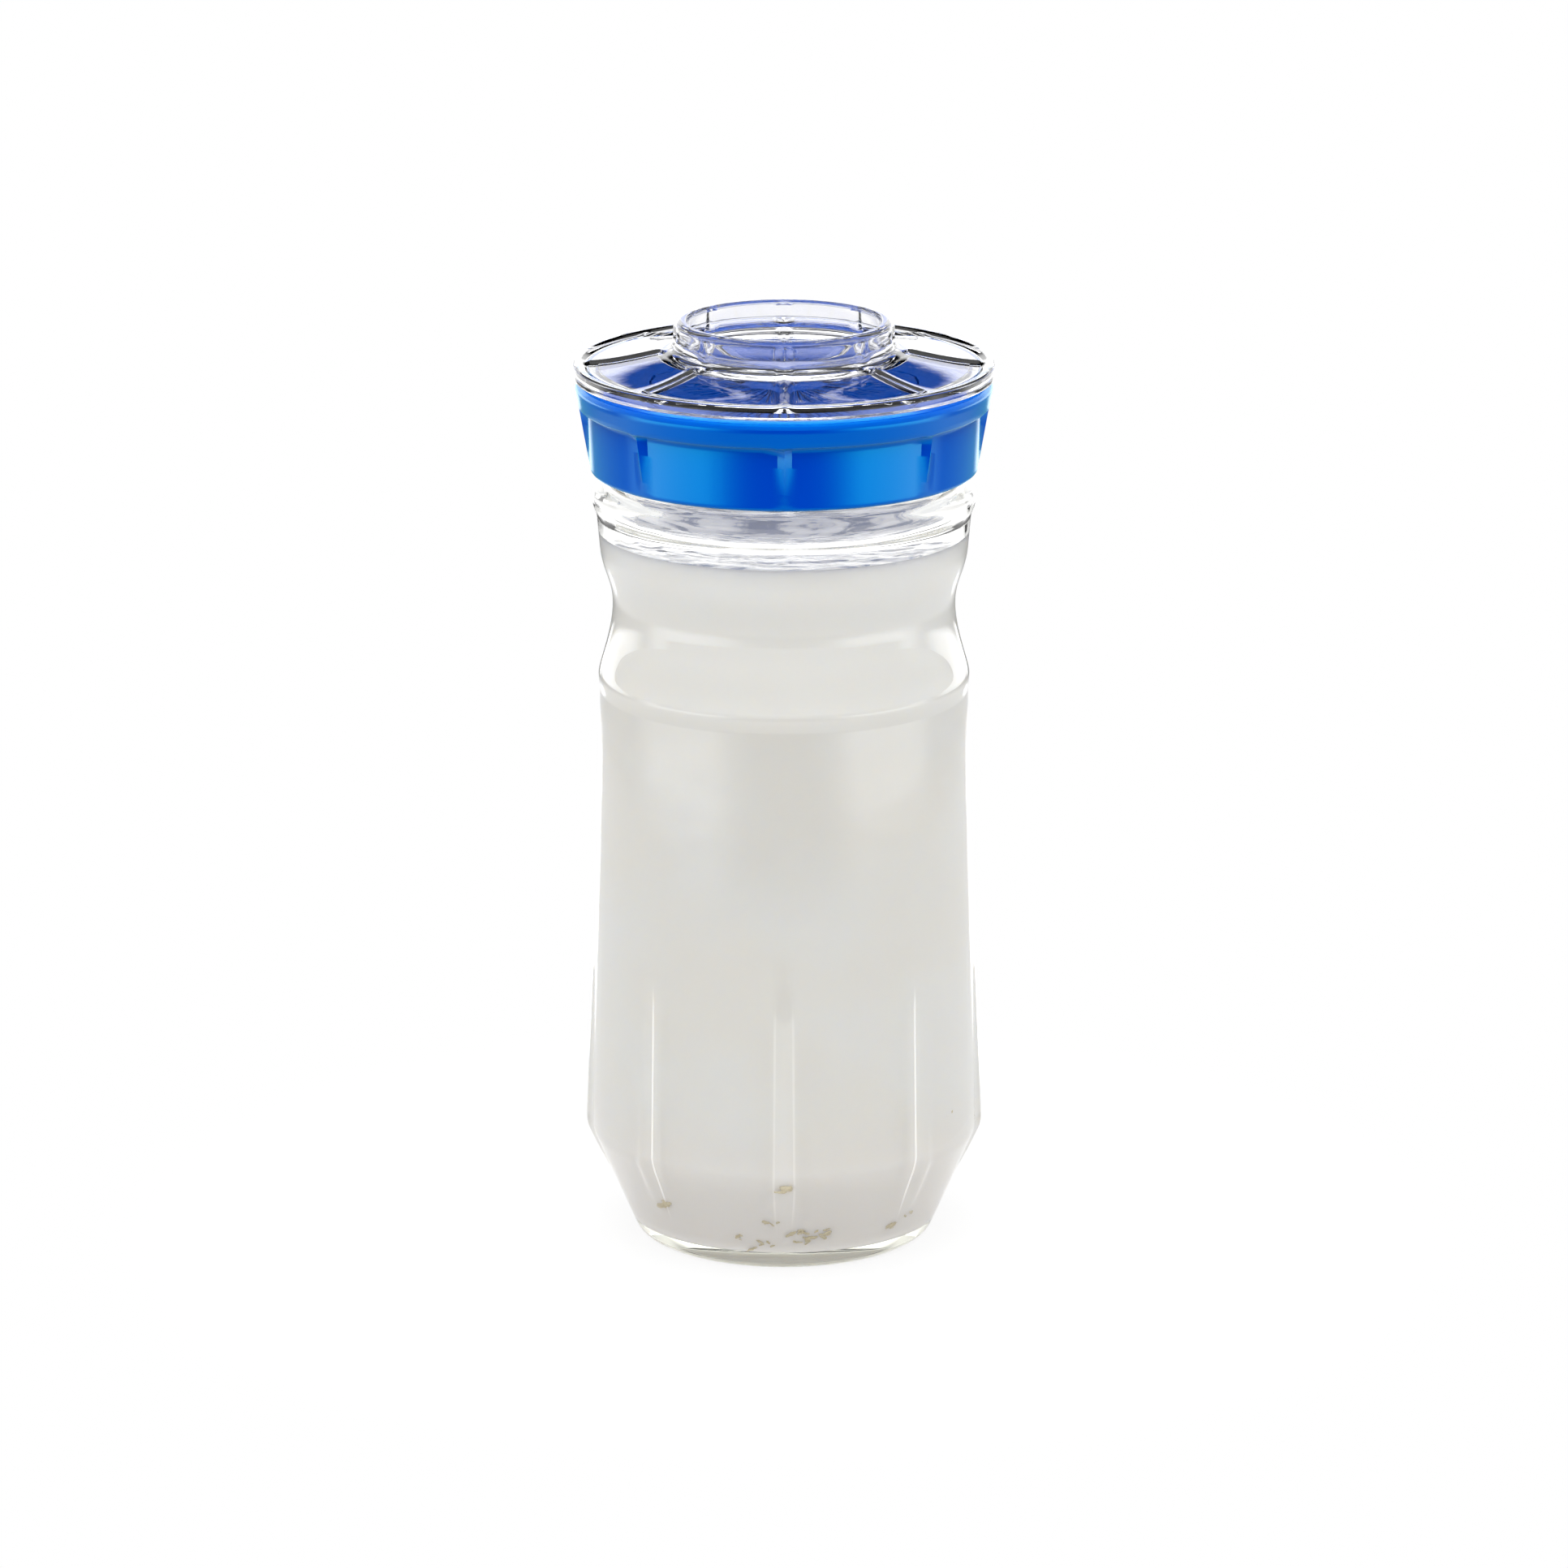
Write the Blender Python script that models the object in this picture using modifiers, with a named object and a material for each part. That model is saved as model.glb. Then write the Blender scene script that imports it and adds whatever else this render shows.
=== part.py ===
"""Fermentation jar for milk kefir: a ribbed glass jar under a two-part lid.

A moulded lid base screws onto the glass over a soft seal. It holds a slotted strainer and
carries a clear cover, which turns on a second seal. The cover's middle is a cup with a fluted
underside, so the cover serves as a citrus reamer when it is turned over.

Metres, +Z up. The origin is the centre of the jar's foot, on the surface that it stands on.
The front of the jar looks along -Y. The profiles are lists of (radius, height).
"""

import math

import bmesh
import bpy
from mathutils import Matrix, Vector

MM = 0.001

# Repeats round the axis
FLATS = 40
RIB_COUNT = 8
SLOT_COUNT = 40

# Clearances
SEAT_GAP = 0.3 * MM
THREAD_ROOM = 1.1 * MM
SEAL_FIT = 0.3 * MM
STRAINER_FIT = 0.4 * MM
REAMER_CLEARANCE = 0.6 * MM

# Glass jar: foot, heel and walls
FOOT_INNER_RADIUS = 28.5 * MM
FOOT_RADIUS = 32.4 * MM
HEEL_ROUND = 3.6 * MM
PUSH_UP = 3.0 * MM
FLOOR_THICKNESS = 3.2 * MM
FLOOR_ROUND = 4.0 * MM
GLASS_WALL = 3.0 * MM

# Glass jar: radii from the hip up to the rim
HIP_RADIUS = 45.9 * MM
HIP_ROUND = 8.0 * MM
BODY_TOP_RADIUS = 43.2 * MM
RIDGE_RADIUS = 43.55 * MM
WAIST_RADIUS = 40.1 * MM
BAND_RADIUS = 43.0 * MM
BAND_TOP_RADIUS = 43.75 * MM
BEAD_RADIUS = 44.75 * MM
FINISH_RADIUS = 41.3 * MM
FINISH_WALL = 3.2 * MM
RIM_ROUND = 1.2 * MM

# Glass jar: the stretches from the foot up to the rim, each one above the last
HIP_HEIGHT = 24.4 * MM
BODY_LENGTH = 108.1 * MM
RIDGE_LENGTH = 4.0 * MM
WAIST_LENGTH = 17.2 * MM
LEDGE_LENGTH = 13.3 * MM
BAND_LENGTH = 8.7 * MM
BEAD_LENGTH = 6.4 * MM
FINISH_LENGTH = 17.9 * MM

# Ribs round the lower jar, reaching above and below the hip
JAR_RIB_RISE = 44.6 * MM
JAR_RIB_DROP = 13.9 * MM
JAR_RIB_HEIGHT = 1.2 * MM
JAR_RIB_WIDTH = 5.2 * MM

# Seal between the glass and the lid base
JAR_SEAL_THICKNESS = 2.0 * MM
JAR_SEAL_WIDTH = 3.2 * MM

# Lid base, with heights from the underside of its deck
SKIRT_DEPTH = 17.0 * MM
SKIRT_WALL = 2.8 * MM
SKIRT_EDGE_ROUND = 0.8 * MM
PANEL_FLARE = 0.7 * MM
BRIM_HEIGHT = 2.6 * MM
BRIM_FLARE = 3.4 * MM
BRIM_ROUND = 2.1 * MM
BRIM_BAND = 3.9 * MM
BRIM_UNDERCUT = 1.9 * MM
DECK_THICKNESS = 2.3 * MM
COVER_STEP_HEIGHT = 3.4 * MM
COVER_STEP_WIDTH = 2.6 * MM
GUSSET_WIDTH = 2.6 * MM
GUSSET_SPREAD = 6.0 * MM

# Strainer, and the mouth that holds it
MOUTH_RADIUS = 29.5 * MM
MOUTH_LIP = 1.6 * MM
LEDGE_WIDTH = 1.9 * MM
STRAINER_THICKNESS = 1.5 * MM
SLOT_INNER_RADIUS = 10.5 * MM
SLOT_LENGTH = 15.5 * MM
SLOT_WIDTH = 0.7 * MM
HUB_RADIUS = 8.5 * MM
HUB_HEIGHT = 0.9 * MM

# Seal under the cover
COVER_SEAL_THICKNESS = 1.0 * MM
COVER_SEAL_WIDTH = 2.0 * MM
COVER_SEAL_INSET = 3.3 * MM

# Clear cover, with heights from the underside of its rim
COVER_OVERHANG = 0.5 * MM
COVER_RIM_HEIGHT = 3.4 * MM
COVER_RIM_ROUND = 1.1 * MM
COVER_RIM_WIDTH = 3.4 * MM
COVER_RIM_LAND = 6.1 * MM
COVER_WALL = 2.0 * MM
DECK_DIP = 0.7 * MM
DECK_RISE = 2.9 * MM
COLLAR_RADIUS = 25.2 * MM
COLLAR_WALL = 2.6 * MM
COLLAR_HEIGHT = 7.5 * MM
COLLAR_FILLET = 3.4 * MM
COLLAR_ROUND = 0.9 * MM
CUP_FLOOR = 1.9 * MM
COVER_RIDGE_HEIGHT = 1.5 * MM
COVER_RIDGE_WIDTH = 3.2 * MM
COLLAR_RIB_HEIGHT = 0.5 * MM
COLLAR_RIB_WIDTH = 3.0 * MM
FLUTE_HEIGHT = 0.8 * MM
FLUTE_WIDTH = 2.6 * MM

# How far a rib's foot reaches into the wall that it stands on, and sinks at its faded end
RIB_ROOT = 0.9 * MM
RIB_FADE = 0.25 * MM

# Heights on the jar
BODY_TOP = HIP_HEIGHT + BODY_LENGTH
RIDGE_TOP = BODY_TOP + RIDGE_LENGTH
WAIST = RIDGE_TOP + WAIST_LENGTH
LEDGE_TOP = WAIST + LEDGE_LENGTH
BAND_TOP = LEDGE_TOP + BAND_LENGTH
BEAD_TOP = BAND_TOP + BEAD_LENGTH
JAR_HEIGHT = BEAD_TOP + FINISH_LENGTH
FLOOR_HEIGHT = PUSH_UP + FLOOR_THICKNESS

# Sizes that one piece takes from another
MOUTH_BORE = FINISH_RADIUS - FINISH_WALL
SKIRT_BORE = FINISH_RADIUS + THREAD_ROOM
SKIRT_RADIUS = SKIRT_BORE + SKIRT_WALL
JAR_SEAL_RADIUS = SKIRT_BORE - SEAL_FIT
JAR_SEAL_BORE = JAR_SEAL_RADIUS - JAR_SEAL_WIDTH
BRIM_RADIUS = SKIRT_RADIUS + BRIM_FLARE
BRIM_TOP = COVER_STEP_HEIGHT + SEAT_GAP + COVER_SEAL_THICKNESS
COVER_RADIUS = BRIM_RADIUS + COVER_OVERHANG
COVER_SEAL_RADIUS = BRIM_RADIUS - COVER_SEAL_INSET
COVER_STEP_RADIUS = COVER_SEAL_RADIUS + SEAL_FIT
DECK_RADIUS = COVER_STEP_RADIUS - COVER_STEP_WIDTH
RECESS_RADIUS = MOUTH_RADIUS + LEDGE_WIDTH
STRAINER_RADIUS = RECESS_RADIUS - STRAINER_FIT
STRAINER_TOP = SEAT_GAP + STRAINER_THICKNESS
COVER_BOTTOM = BRIM_TOP + SEAT_GAP
REAMER_BOTTOM = STRAINER_TOP + HUB_HEIGHT + REAMER_CLEARANCE - COVER_BOTTOM


def arc(centre, radius, start, end, steps):
    """Points on a circle about centre, from start to end, both in degrees."""
    points = []
    for i in range(steps + 1):
        angle = math.radians(start + (end - start) * i / steps)
        points.append((centre[0] + radius * math.cos(angle), centre[1] + radius * math.sin(angle)))
    return points


def bezier(a, b, c, d, steps):
    """Points on a cubic curve that leaves a towards b and reaches d from c."""
    points = []
    for i in range(steps + 1):
        t = i / steps
        s = 1 - t
        weights = (s * s * s, 3 * s * s * t, 3 * s * t * t, t * t * t)
        points.append(tuple(sum(w * p[k] for w, p in zip(weights, (a, b, c, d))) for k in (0, 1)))
    return points


def rounded(before, corner, after, radius, steps):
    """The arc that rounds a corner between two straight lines."""
    into = math.atan2(corner[1] - before[1], corner[0] - before[0])
    out = math.atan2(after[1] - corner[1], after[0] - corner[0])
    turn = (out - into + math.pi) % (2 * math.pi) - math.pi
    side = math.copysign(1, turn)
    reach = radius * math.tan(abs(turn) / 2)
    start = (corner[0] - reach * math.cos(into), corner[1] - reach * math.sin(into))
    centre = (start[0] - side * radius * math.sin(into), start[1] + side * radius * math.cos(into))
    first = math.degrees(into) - side * 90
    return arc(centre, radius, first, first + math.degrees(turn), steps)


def offset(points, distance):
    """The line moved sideways: to the left of its direction, or to the right when negative."""
    moved = []
    for i, (r, z) in enumerate(points):
        before = points[max(i - 1, 0)]
        after = points[min(i + 1, len(points) - 1)]
        along = (after[0] - before[0], after[1] - before[1])
        length = math.hypot(*along)
        moved.append((r - distance * along[1] / length, z + distance * along[0] / length))
    return moved


def at_height(points, height):
    """Where a rising line passes a height."""
    for (r0, z0), (r1, z1) in zip(points, points[1:]):
        if z0 <= height <= z1 and z0 < z1:
            return (r0 + (r1 - r0) * (height - z0) / (z1 - z0), height)
    return points[-1]


def between(points, low, high):
    """The part of a rising line between two heights, with its ends cut there."""
    kept = [point for point in points if low < point[1] < high]
    return [at_height(points, low)] + kept + [at_height(points, high)]


def spread(points, count):
    """As many points as count, evenly spaced along a line."""
    lengths = [math.dist(a, b) for a, b in zip(points, points[1:])]
    spaced = [points[0]]
    for i in range(1, count - 1):
        left = sum(lengths) * i / (count - 1)
        k = 0
        while left > lengths[k]:
            left -= lengths[k]
            k += 1
        share = left / lengths[k]
        spaced.append(tuple(points[k][j] + (points[k + 1][j] - points[k][j]) * share for j in (0, 1)))
    return spaced + [points[-1]]


def turned(name, points, closed=False):
    """A round solid: half of its section, turned about Z by a Screw modifier."""
    edges = [(i, i + 1) for i in range(len(points) - 1)]
    if closed:
        edges.append((len(points) - 1, 0))
    mesh = bpy.data.meshes.new(name)
    mesh.from_pydata([(r, 0.0, z) for r, z in points], edges, [])
    piece = bpy.data.objects.new(name, mesh)
    parts.objects.link(piece)
    screw = piece.modifiers.new("turn", "SCREW")
    screw.axis = "Z"
    screw.steps = FLATS
    screw.render_steps = FLATS
    screw.use_merge_vertices = True
    screw.merge_threshold = 0.01 * MM
    return piece


def add_rib(tool, path, rise, half_width, crest_share, turn):
    """One rib that stands off the right-hand side of a line, turned to its place round Z.

    rise and half_width hold one value for each point of the line.
    """
    foot = offset(path, RIB_ROOT)
    crest = [offset(path, -lift)[i] for i, lift in enumerate(rise)]
    place = Matrix.Rotation(turn, 3, "Z")
    rows = []
    for root, face, top, wide in zip(foot, path, crest, half_width):
        narrow = wide * crest_share
        left = [(root, -wide), (face, -wide), (top, -narrow)]
        right = [(top, narrow), (face, wide), (root, wide)]
        rows.append([tool.verts.new(place @ Vector((p[0], y, p[1]))) for p, y in left + right])
    for low, high in zip(rows, rows[1:]):
        for k in range(len(low)):
            following = (k + 1) % len(low)
            tool.faces.new((low[k], low[following], high[following], high[k]))
    tool.faces.new(rows[0])
    tool.faces.new(rows[-1])


def tool_object(name, tool):
    """The finished bmesh as a hidden helper, with its faces pointing out."""
    bmesh.ops.recalc_face_normals(tool, faces=tool.faces)
    mesh = bpy.data.meshes.new(name)
    tool.to_mesh(mesh)
    tool.free()
    helper = bpy.data.objects.new(name, mesh)
    helper.hide_render = True
    helper.display_type = "WIRE"
    cutters.objects.link(helper)
    return helper


def boolean(piece, helper, operation):
    """Joins a helper to a piece or cuts it away, and lets the helper follow the piece."""
    helper.parent = piece
    modifier = piece.modifiers.new(helper.name, "BOOLEAN")
    modifier.operation = operation
    modifier.solver = "EXACT"
    modifier.object = helper


def finish(piece, colour, roughness, transmission=0.0, ior=1.45):
    """Applies the modifiers, shades the round faces smooth and gives the piece its material."""
    bpy.context.view_layer.update()
    graph = bpy.context.evaluated_depsgraph_get()
    mesh = bpy.data.meshes.new_from_object(piece.evaluated_get(graph))
    piece.modifiers.clear()
    piece.data = mesh
    mesh.name = piece.name
    mesh.shade_smooth()
    mesh.set_sharp_from_angle(angle=math.radians(32))
    material = bpy.data.materials.new(piece.name)
    material.use_nodes = True
    shader = material.node_tree.nodes["Principled BSDF"]
    shader.inputs["Base Color"].default_value = (*colour, 1.0)
    shader.inputs["Roughness"].default_value = roughness
    shader.inputs["Transmission Weight"].default_value = transmission
    shader.inputs["IOR"].default_value = ior
    mesh.materials.clear()
    mesh.materials.append(material)


def seat(piece, carrier, height):
    """Puts a piece on the axis, at a height above its carrier's own origin."""
    piece.parent = carrier
    piece.location = (0.0, 0.0, height)


def turns(count):
    """The angles of that many repeats, the first one at the front."""
    return [2 * math.pi * i / count - math.pi / 2 for i in range(count)]


def jar_outside():
    """The jar's outer side, rising from the edge of the foot to the top of the bead."""
    heel_centre = (FOOT_RADIUS, HEEL_ROUND)
    hip = (HIP_RADIUS, HIP_HEIGHT)
    body_top = (BODY_TOP_RADIUS, BODY_TOP)
    to_hip = math.atan2(hip[1] - heel_centre[1], hip[0] - heel_centre[0])
    lean = to_hip - math.acos(HEEL_ROUND / math.dist(hip, heel_centre))
    heel = arc(heel_centre, HEEL_ROUND, -90, math.degrees(lean), 4)
    points = heel + rounded(heel[-1], hip, body_top, HIP_ROUND, 3)
    points += bezier(
        body_top,
        (BODY_TOP_RADIUS, BODY_TOP + 0.4 * RIDGE_LENGTH),
        (RIDGE_RADIUS, RIDGE_TOP - 0.4 * RIDGE_LENGTH),
        (RIDGE_RADIUS, RIDGE_TOP),
        2,
    )
    points += bezier(
        (RIDGE_RADIUS, RIDGE_TOP),
        (RIDGE_RADIUS, RIDGE_TOP + 0.12 * WAIST_LENGTH),
        (WAIST_RADIUS, WAIST - 0.42 * WAIST_LENGTH),
        (WAIST_RADIUS, WAIST),
        4,
    )[1:]
    points += bezier(
        (WAIST_RADIUS, WAIST),
        (WAIST_RADIUS, WAIST + 0.42 * LEDGE_LENGTH),
        (BAND_RADIUS, LEDGE_TOP - 0.34 * LEDGE_LENGTH),
        (BAND_RADIUS, LEDGE_TOP),
        4,
    )[1:]
    bead_middle = BAND_TOP + 0.5 * BEAD_LENGTH
    points += bezier(
        (BAND_TOP_RADIUS, BAND_TOP),
        (BEAD_RADIUS, BAND_TOP + 0.1 * BEAD_LENGTH),
        (BEAD_RADIUS, bead_middle - 0.2 * BEAD_LENGTH),
        (BEAD_RADIUS, bead_middle),
        3,
    )
    points += bezier(
        (BEAD_RADIUS, bead_middle),
        (BEAD_RADIUS, bead_middle + 0.3 * BEAD_LENGTH),
        (FINISH_RADIUS + 0.6 * (BEAD_RADIUS - FINISH_RADIUS), BEAD_TOP - 0.1 * BEAD_LENGTH),
        (FINISH_RADIUS + 0.4 * (BEAD_RADIUS - FINISH_RADIUS), BEAD_TOP),
        3,
    )[1:]
    return points


def jar_inside(outside):
    """The jar's inner side, from the middle of the floor up to the mouth."""
    wall = between(offset(outside, GLASS_WALL), FLOOR_HEIGHT, BAND_TOP)
    lean = (wall[1][0] - wall[0][0]) / (wall[1][1] - wall[0][1])
    corner = (wall[0][0] - lean * PUSH_UP, FLOOR_THICKNESS)
    edge = (FOOT_INNER_RADIUS, FLOOR_THICKNESS)
    floor = bezier(
        (0.0, FLOOR_HEIGHT),
        (0.6 * FOOT_INNER_RADIUS, FLOOR_HEIGHT),
        (0.92 * FOOT_INNER_RADIUS, FLOOR_THICKNESS + 0.5 * PUSH_UP),
        edge,
        3,
    )
    return floor + rounded(edge, corner, wall[0], FLOOR_ROUND, 2) + wall + [(MOUTH_BORE, BEAD_TOP)]


def jar_underside():
    """The hollow under the jar, from the foot to the axis."""
    return bezier(
        (FOOT_INNER_RADIUS, 0.0),
        (0.92 * FOOT_INNER_RADIUS, 0.5 * PUSH_UP),
        (0.6 * FOOT_INNER_RADIUS, PUSH_UP),
        (0.0, PUSH_UP),
        4,
    )


def jar_ribs(outside):
    """The ribs round the lower jar: highest at the hip and faded out above the heel."""
    low = HIP_HEIGHT - JAR_RIB_DROP
    high = HIP_HEIGHT + JAR_RIB_RISE
    path = spread(between(outside, low, high), 11)
    rise = []
    for _, height in path:
        if height < HIP_HEIGHT:
            share = math.sin(0.5 * math.pi * (height - low) / (HIP_HEIGHT - low))
        else:
            share = 1 - 0.65 * (height - HIP_HEIGHT) / (high - HIP_HEIGHT)
        rise.append(JAR_RIB_HEIGHT * share - (RIB_FADE if height == low else 0.0))
    tool = bmesh.new()
    for turn in turns(RIB_COUNT):
        add_rib(tool, path, rise, [0.5 * JAR_RIB_WIDTH] * len(path), 0.55, turn)
    return tool_object("jar_ribs", tool)


def make_jar():
    """The glass jar, with its plain finish under the lid."""
    outside = jar_outside()
    rim_height = JAR_HEIGHT - RIM_ROUND
    neck = bezier(
        outside[-1],
        (FINISH_RADIUS + 0.1 * (BEAD_RADIUS - FINISH_RADIUS), BEAD_TOP + 0.05 * FINISH_LENGTH),
        (FINISH_RADIUS, BEAD_TOP + 0.08 * FINISH_LENGTH),
        (FINISH_RADIUS, BEAD_TOP + 0.16 * FINISH_LENGTH),
        2,
    )[1:]
    rim = arc((MOUTH_BORE + RIM_ROUND, rim_height), RIM_ROUND, 180, 90, 2)
    rim += arc((FINISH_RADIUS - RIM_ROUND, rim_height), RIM_ROUND, 90, 0, 2)
    section = jar_inside(outside) + rim + neck[::-1] + outside[::-1] + jar_underside()
    jar = turned("glass_jar", section)
    boolean(jar, jar_ribs(outside), "UNION")
    finish(jar, (0.93, 0.95, 0.94), 0.02, transmission=1.0, ior=1.5)
    return jar


def make_ring(name, bore, radius, thickness, colour, roughness):
    """A flat seal with softened edges, standing on its own origin."""
    soft = 0.25 * thickness
    section = [
        (bore + soft, thickness),
        (radius - soft, thickness),
        (radius, thickness - soft),
        (radius, soft),
        (radius - soft, 0.0),
        (bore + soft, 0.0),
        (bore, soft),
        (bore, thickness - soft),
    ]
    ring = turned(name, section, closed=True)
    finish(ring, colour, roughness)
    return ring


def flare_radius(height):
    """The radius of the lid base's flare, along the crests of its gussets."""
    share = (height + SKIRT_DEPTH) / (BRIM_HEIGHT + SKIRT_DEPTH)
    return SKIRT_RADIUS + (BRIM_RADIUS - SKIRT_RADIUS) * share


def lid_outside():
    """The lid base's outer side between the gussets, rising from the skirt's edge to the brim."""
    edge = (SKIRT_RADIUS - SKIRT_EDGE_ROUND, SKIRT_EDGE_ROUND - SKIRT_DEPTH)
    band_bottom = BRIM_HEIGHT - BRIM_BAND
    panel_top = (SKIRT_RADIUS + PANEL_FLARE, band_bottom - BRIM_UNDERCUT)
    points = arc(edge, SKIRT_EDGE_ROUND, -90, 0, 2)
    points += bezier(
        panel_top,
        (panel_top[0], panel_top[1] + 0.7 * BRIM_UNDERCUT),
        (panel_top[0] + 0.2 * BRIM_UNDERCUT, band_bottom - 0.15 * BRIM_UNDERCUT),
        (flare_radius(band_bottom), band_bottom),
        4,
    )
    round_centre = (BRIM_RADIUS - BRIM_ROUND, BRIM_TOP - BRIM_ROUND)
    return points + arc(round_centre, BRIM_ROUND, 0, 90, 3)


def lid_gussets():
    """The upright gussets of the skirt, each spreading into the band under the brim."""
    low = SKIRT_EDGE_ROUND - SKIRT_DEPTH
    high = BRIM_HEIGHT - 0.5 * BRIM_BAND
    path = []
    rise = []
    half_width = []
    for i in range(9):
        height = low + (high - low) * i / 8
        panel = SKIRT_RADIUS + PANEL_FLARE * i / 8
        path.append((panel, height))
        rise.append(flare_radius(height) - panel - (RIB_FADE if i == 0 else 0.0))
        stem = GUSSET_WIDTH * (0.4 + 0.6 * min(1, i / 4))
        half_width.append(0.5 * (stem + (GUSSET_SPREAD - GUSSET_WIDTH) * (i / 8) ** 5))
    tool = bmesh.new()
    for turn in turns(RIB_COUNT):
        add_rib(tool, path, rise, half_width, 0.45, turn)
    return tool_object("lid_gussets", tool)


def make_lid_base():
    """The screw lid's base: skirt, brim, the step for the cover's seal and the strainer's mouth."""
    section = lid_outside()[::-1]
    section += [
        (SKIRT_BORE, -SKIRT_DEPTH),
        (SKIRT_BORE, 0.0),
        (JAR_SEAL_BORE - SEAL_FIT, 0.0),
        (JAR_SEAL_BORE - SEAL_FIT, -MOUTH_LIP),
        (MOUTH_RADIUS, -MOUTH_LIP),
        (MOUTH_RADIUS, 0.0),
        (RECESS_RADIUS, 0.0),
        (RECESS_RADIUS, STRAINER_TOP),
        (DECK_RADIUS, DECK_THICKNESS),
        (DECK_RADIUS, COVER_STEP_HEIGHT),
        (COVER_STEP_RADIUS, COVER_STEP_HEIGHT),
        (COVER_STEP_RADIUS, BRIM_TOP),
    ]
    lid = turned("lid_base", section, closed=True)
    boolean(lid, lid_gussets(), "UNION")
    finish(lid, (0.0, 0.2, 0.72), 0.3)
    return lid


def make_strainer():
    """The strainer: a disc with radial slots round a low hub."""
    hub = bezier(
        (0.0, STRAINER_THICKNESS + HUB_HEIGHT),
        (0.6 * HUB_RADIUS, STRAINER_THICKNESS + HUB_HEIGHT),
        (0.85 * HUB_RADIUS, STRAINER_THICKNESS + 0.3 * HUB_HEIGHT),
        (HUB_RADIUS, STRAINER_THICKNESS),
        3,
    )
    section = hub + [
        (STRAINER_RADIUS, STRAINER_THICKNESS),
        (STRAINER_RADIUS, 0.0),
        (0.0, 0.0),
    ]
    strainer = turned("strainer", section)
    tool = bmesh.new()
    middle = Matrix.Translation((SLOT_INNER_RADIUS + 0.5 * SLOT_LENGTH, 0.0, 0.0))
    size = Matrix.Diagonal((SLOT_LENGTH, SLOT_WIDTH, 4 * STRAINER_THICKNESS, 1.0))
    for turn in turns(SLOT_COUNT):
        bmesh.ops.create_cube(tool, size=1.0, matrix=Matrix.Rotation(turn, 4, "Z") @ middle @ size)
    boolean(strainer, tool_object("strainer_slots", tool), "DIFFERENCE")
    finish(strainer, (0.0, 0.2, 0.72), 0.3)
    return strainer


def cover_lines():
    """The cup's inner side, the reamer's outer side, the deck's top and its underside."""
    deck_top = COVER_RIM_HEIGHT - DECK_DIP + DECK_RISE
    deck_edge = COVER_RADIUS - COVER_RIM_WIDTH
    cup_radius = COLLAR_RADIUS - COLLAR_WALL
    floor = REAMER_BOTTOM + CUP_FLOOR
    cup = bezier(
        (0.0, floor),
        (0.5 * cup_radius, floor),
        (0.75 * cup_radius, floor + 0.3 * deck_top),
        (cup_radius, deck_top),
        6,
    )
    top = bezier(
        (deck_edge, COVER_RIM_HEIGHT - DECK_DIP),
        (deck_edge - 6 * MM, COVER_RIM_HEIGHT - DECK_DIP + 0.1 * DECK_RISE),
        (COLLAR_RADIUS + COLLAR_FILLET + 6 * MM, deck_top - 0.4 * DECK_RISE),
        (COLLAR_RADIUS + COLLAR_FILLET, deck_top),
        4,
    )
    land = COVER_RADIUS - COVER_RIM_LAND
    under = [(r, z - COVER_WALL) for r, z in top if r < land]
    reamer = between([(0.0, REAMER_BOTTOM)] + offset(cup, -CUP_FLOOR)[1:], REAMER_BOTTOM, under[-1][1])
    return cup, reamer, top, under


def cover_ribs(reamer, top):
    """The ridges on the deck, the ribs on the collar and the flutes under the cup, as one tool."""
    deck_top = top[-1][1]
    ridge = spread([(COVER_RADIUS - 0.7 * COVER_RIM_WIDTH, top[0][1])] + top, 7)
    ridge_rise = [-RIB_FADE] + [COVER_RIDGE_HEIGHT] * 6
    ridge_width = [0.5 * COVER_RIDGE_WIDTH] * 7
    collar_low = deck_top + 0.5 * COLLAR_FILLET
    collar_high = deck_top + COLLAR_HEIGHT - COLLAR_ROUND
    collar = [(COLLAR_RADIUS, collar_low), (COLLAR_RADIUS, collar_high)]
    flute = spread([point for point in reamer if point[0] > HUB_RADIUS + 2 * MM], 6)
    flute_rise = [-RIB_FADE] + [FLUTE_HEIGHT * i / 4 for i in (1, 2, 3, 4)] + [FLUTE_HEIGHT]
    tool = bmesh.new()
    for turn in turns(RIB_COUNT):
        add_rib(tool, ridge, ridge_rise, ridge_width, 0.35, turn)
    deck_ridges = tool_object("deck_ridges", tool)
    tool = bmesh.new()
    for turn in turns(RIB_COUNT):
        add_rib(tool, collar, [COLLAR_RIB_HEIGHT] * 2, [0.5 * COLLAR_RIB_WIDTH] * 2, 0.6, turn)
    collar_ribs = tool_object("collar_ribs", tool)
    tool = bmesh.new()
    for turn in turns(RIB_COUNT):
        add_rib(tool, flute, flute_rise, [0.5 * FLUTE_WIDTH] * 6, 0.3, turn)
    return deck_ridges, collar_ribs, tool_object("reamer_flutes", tool)


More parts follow.
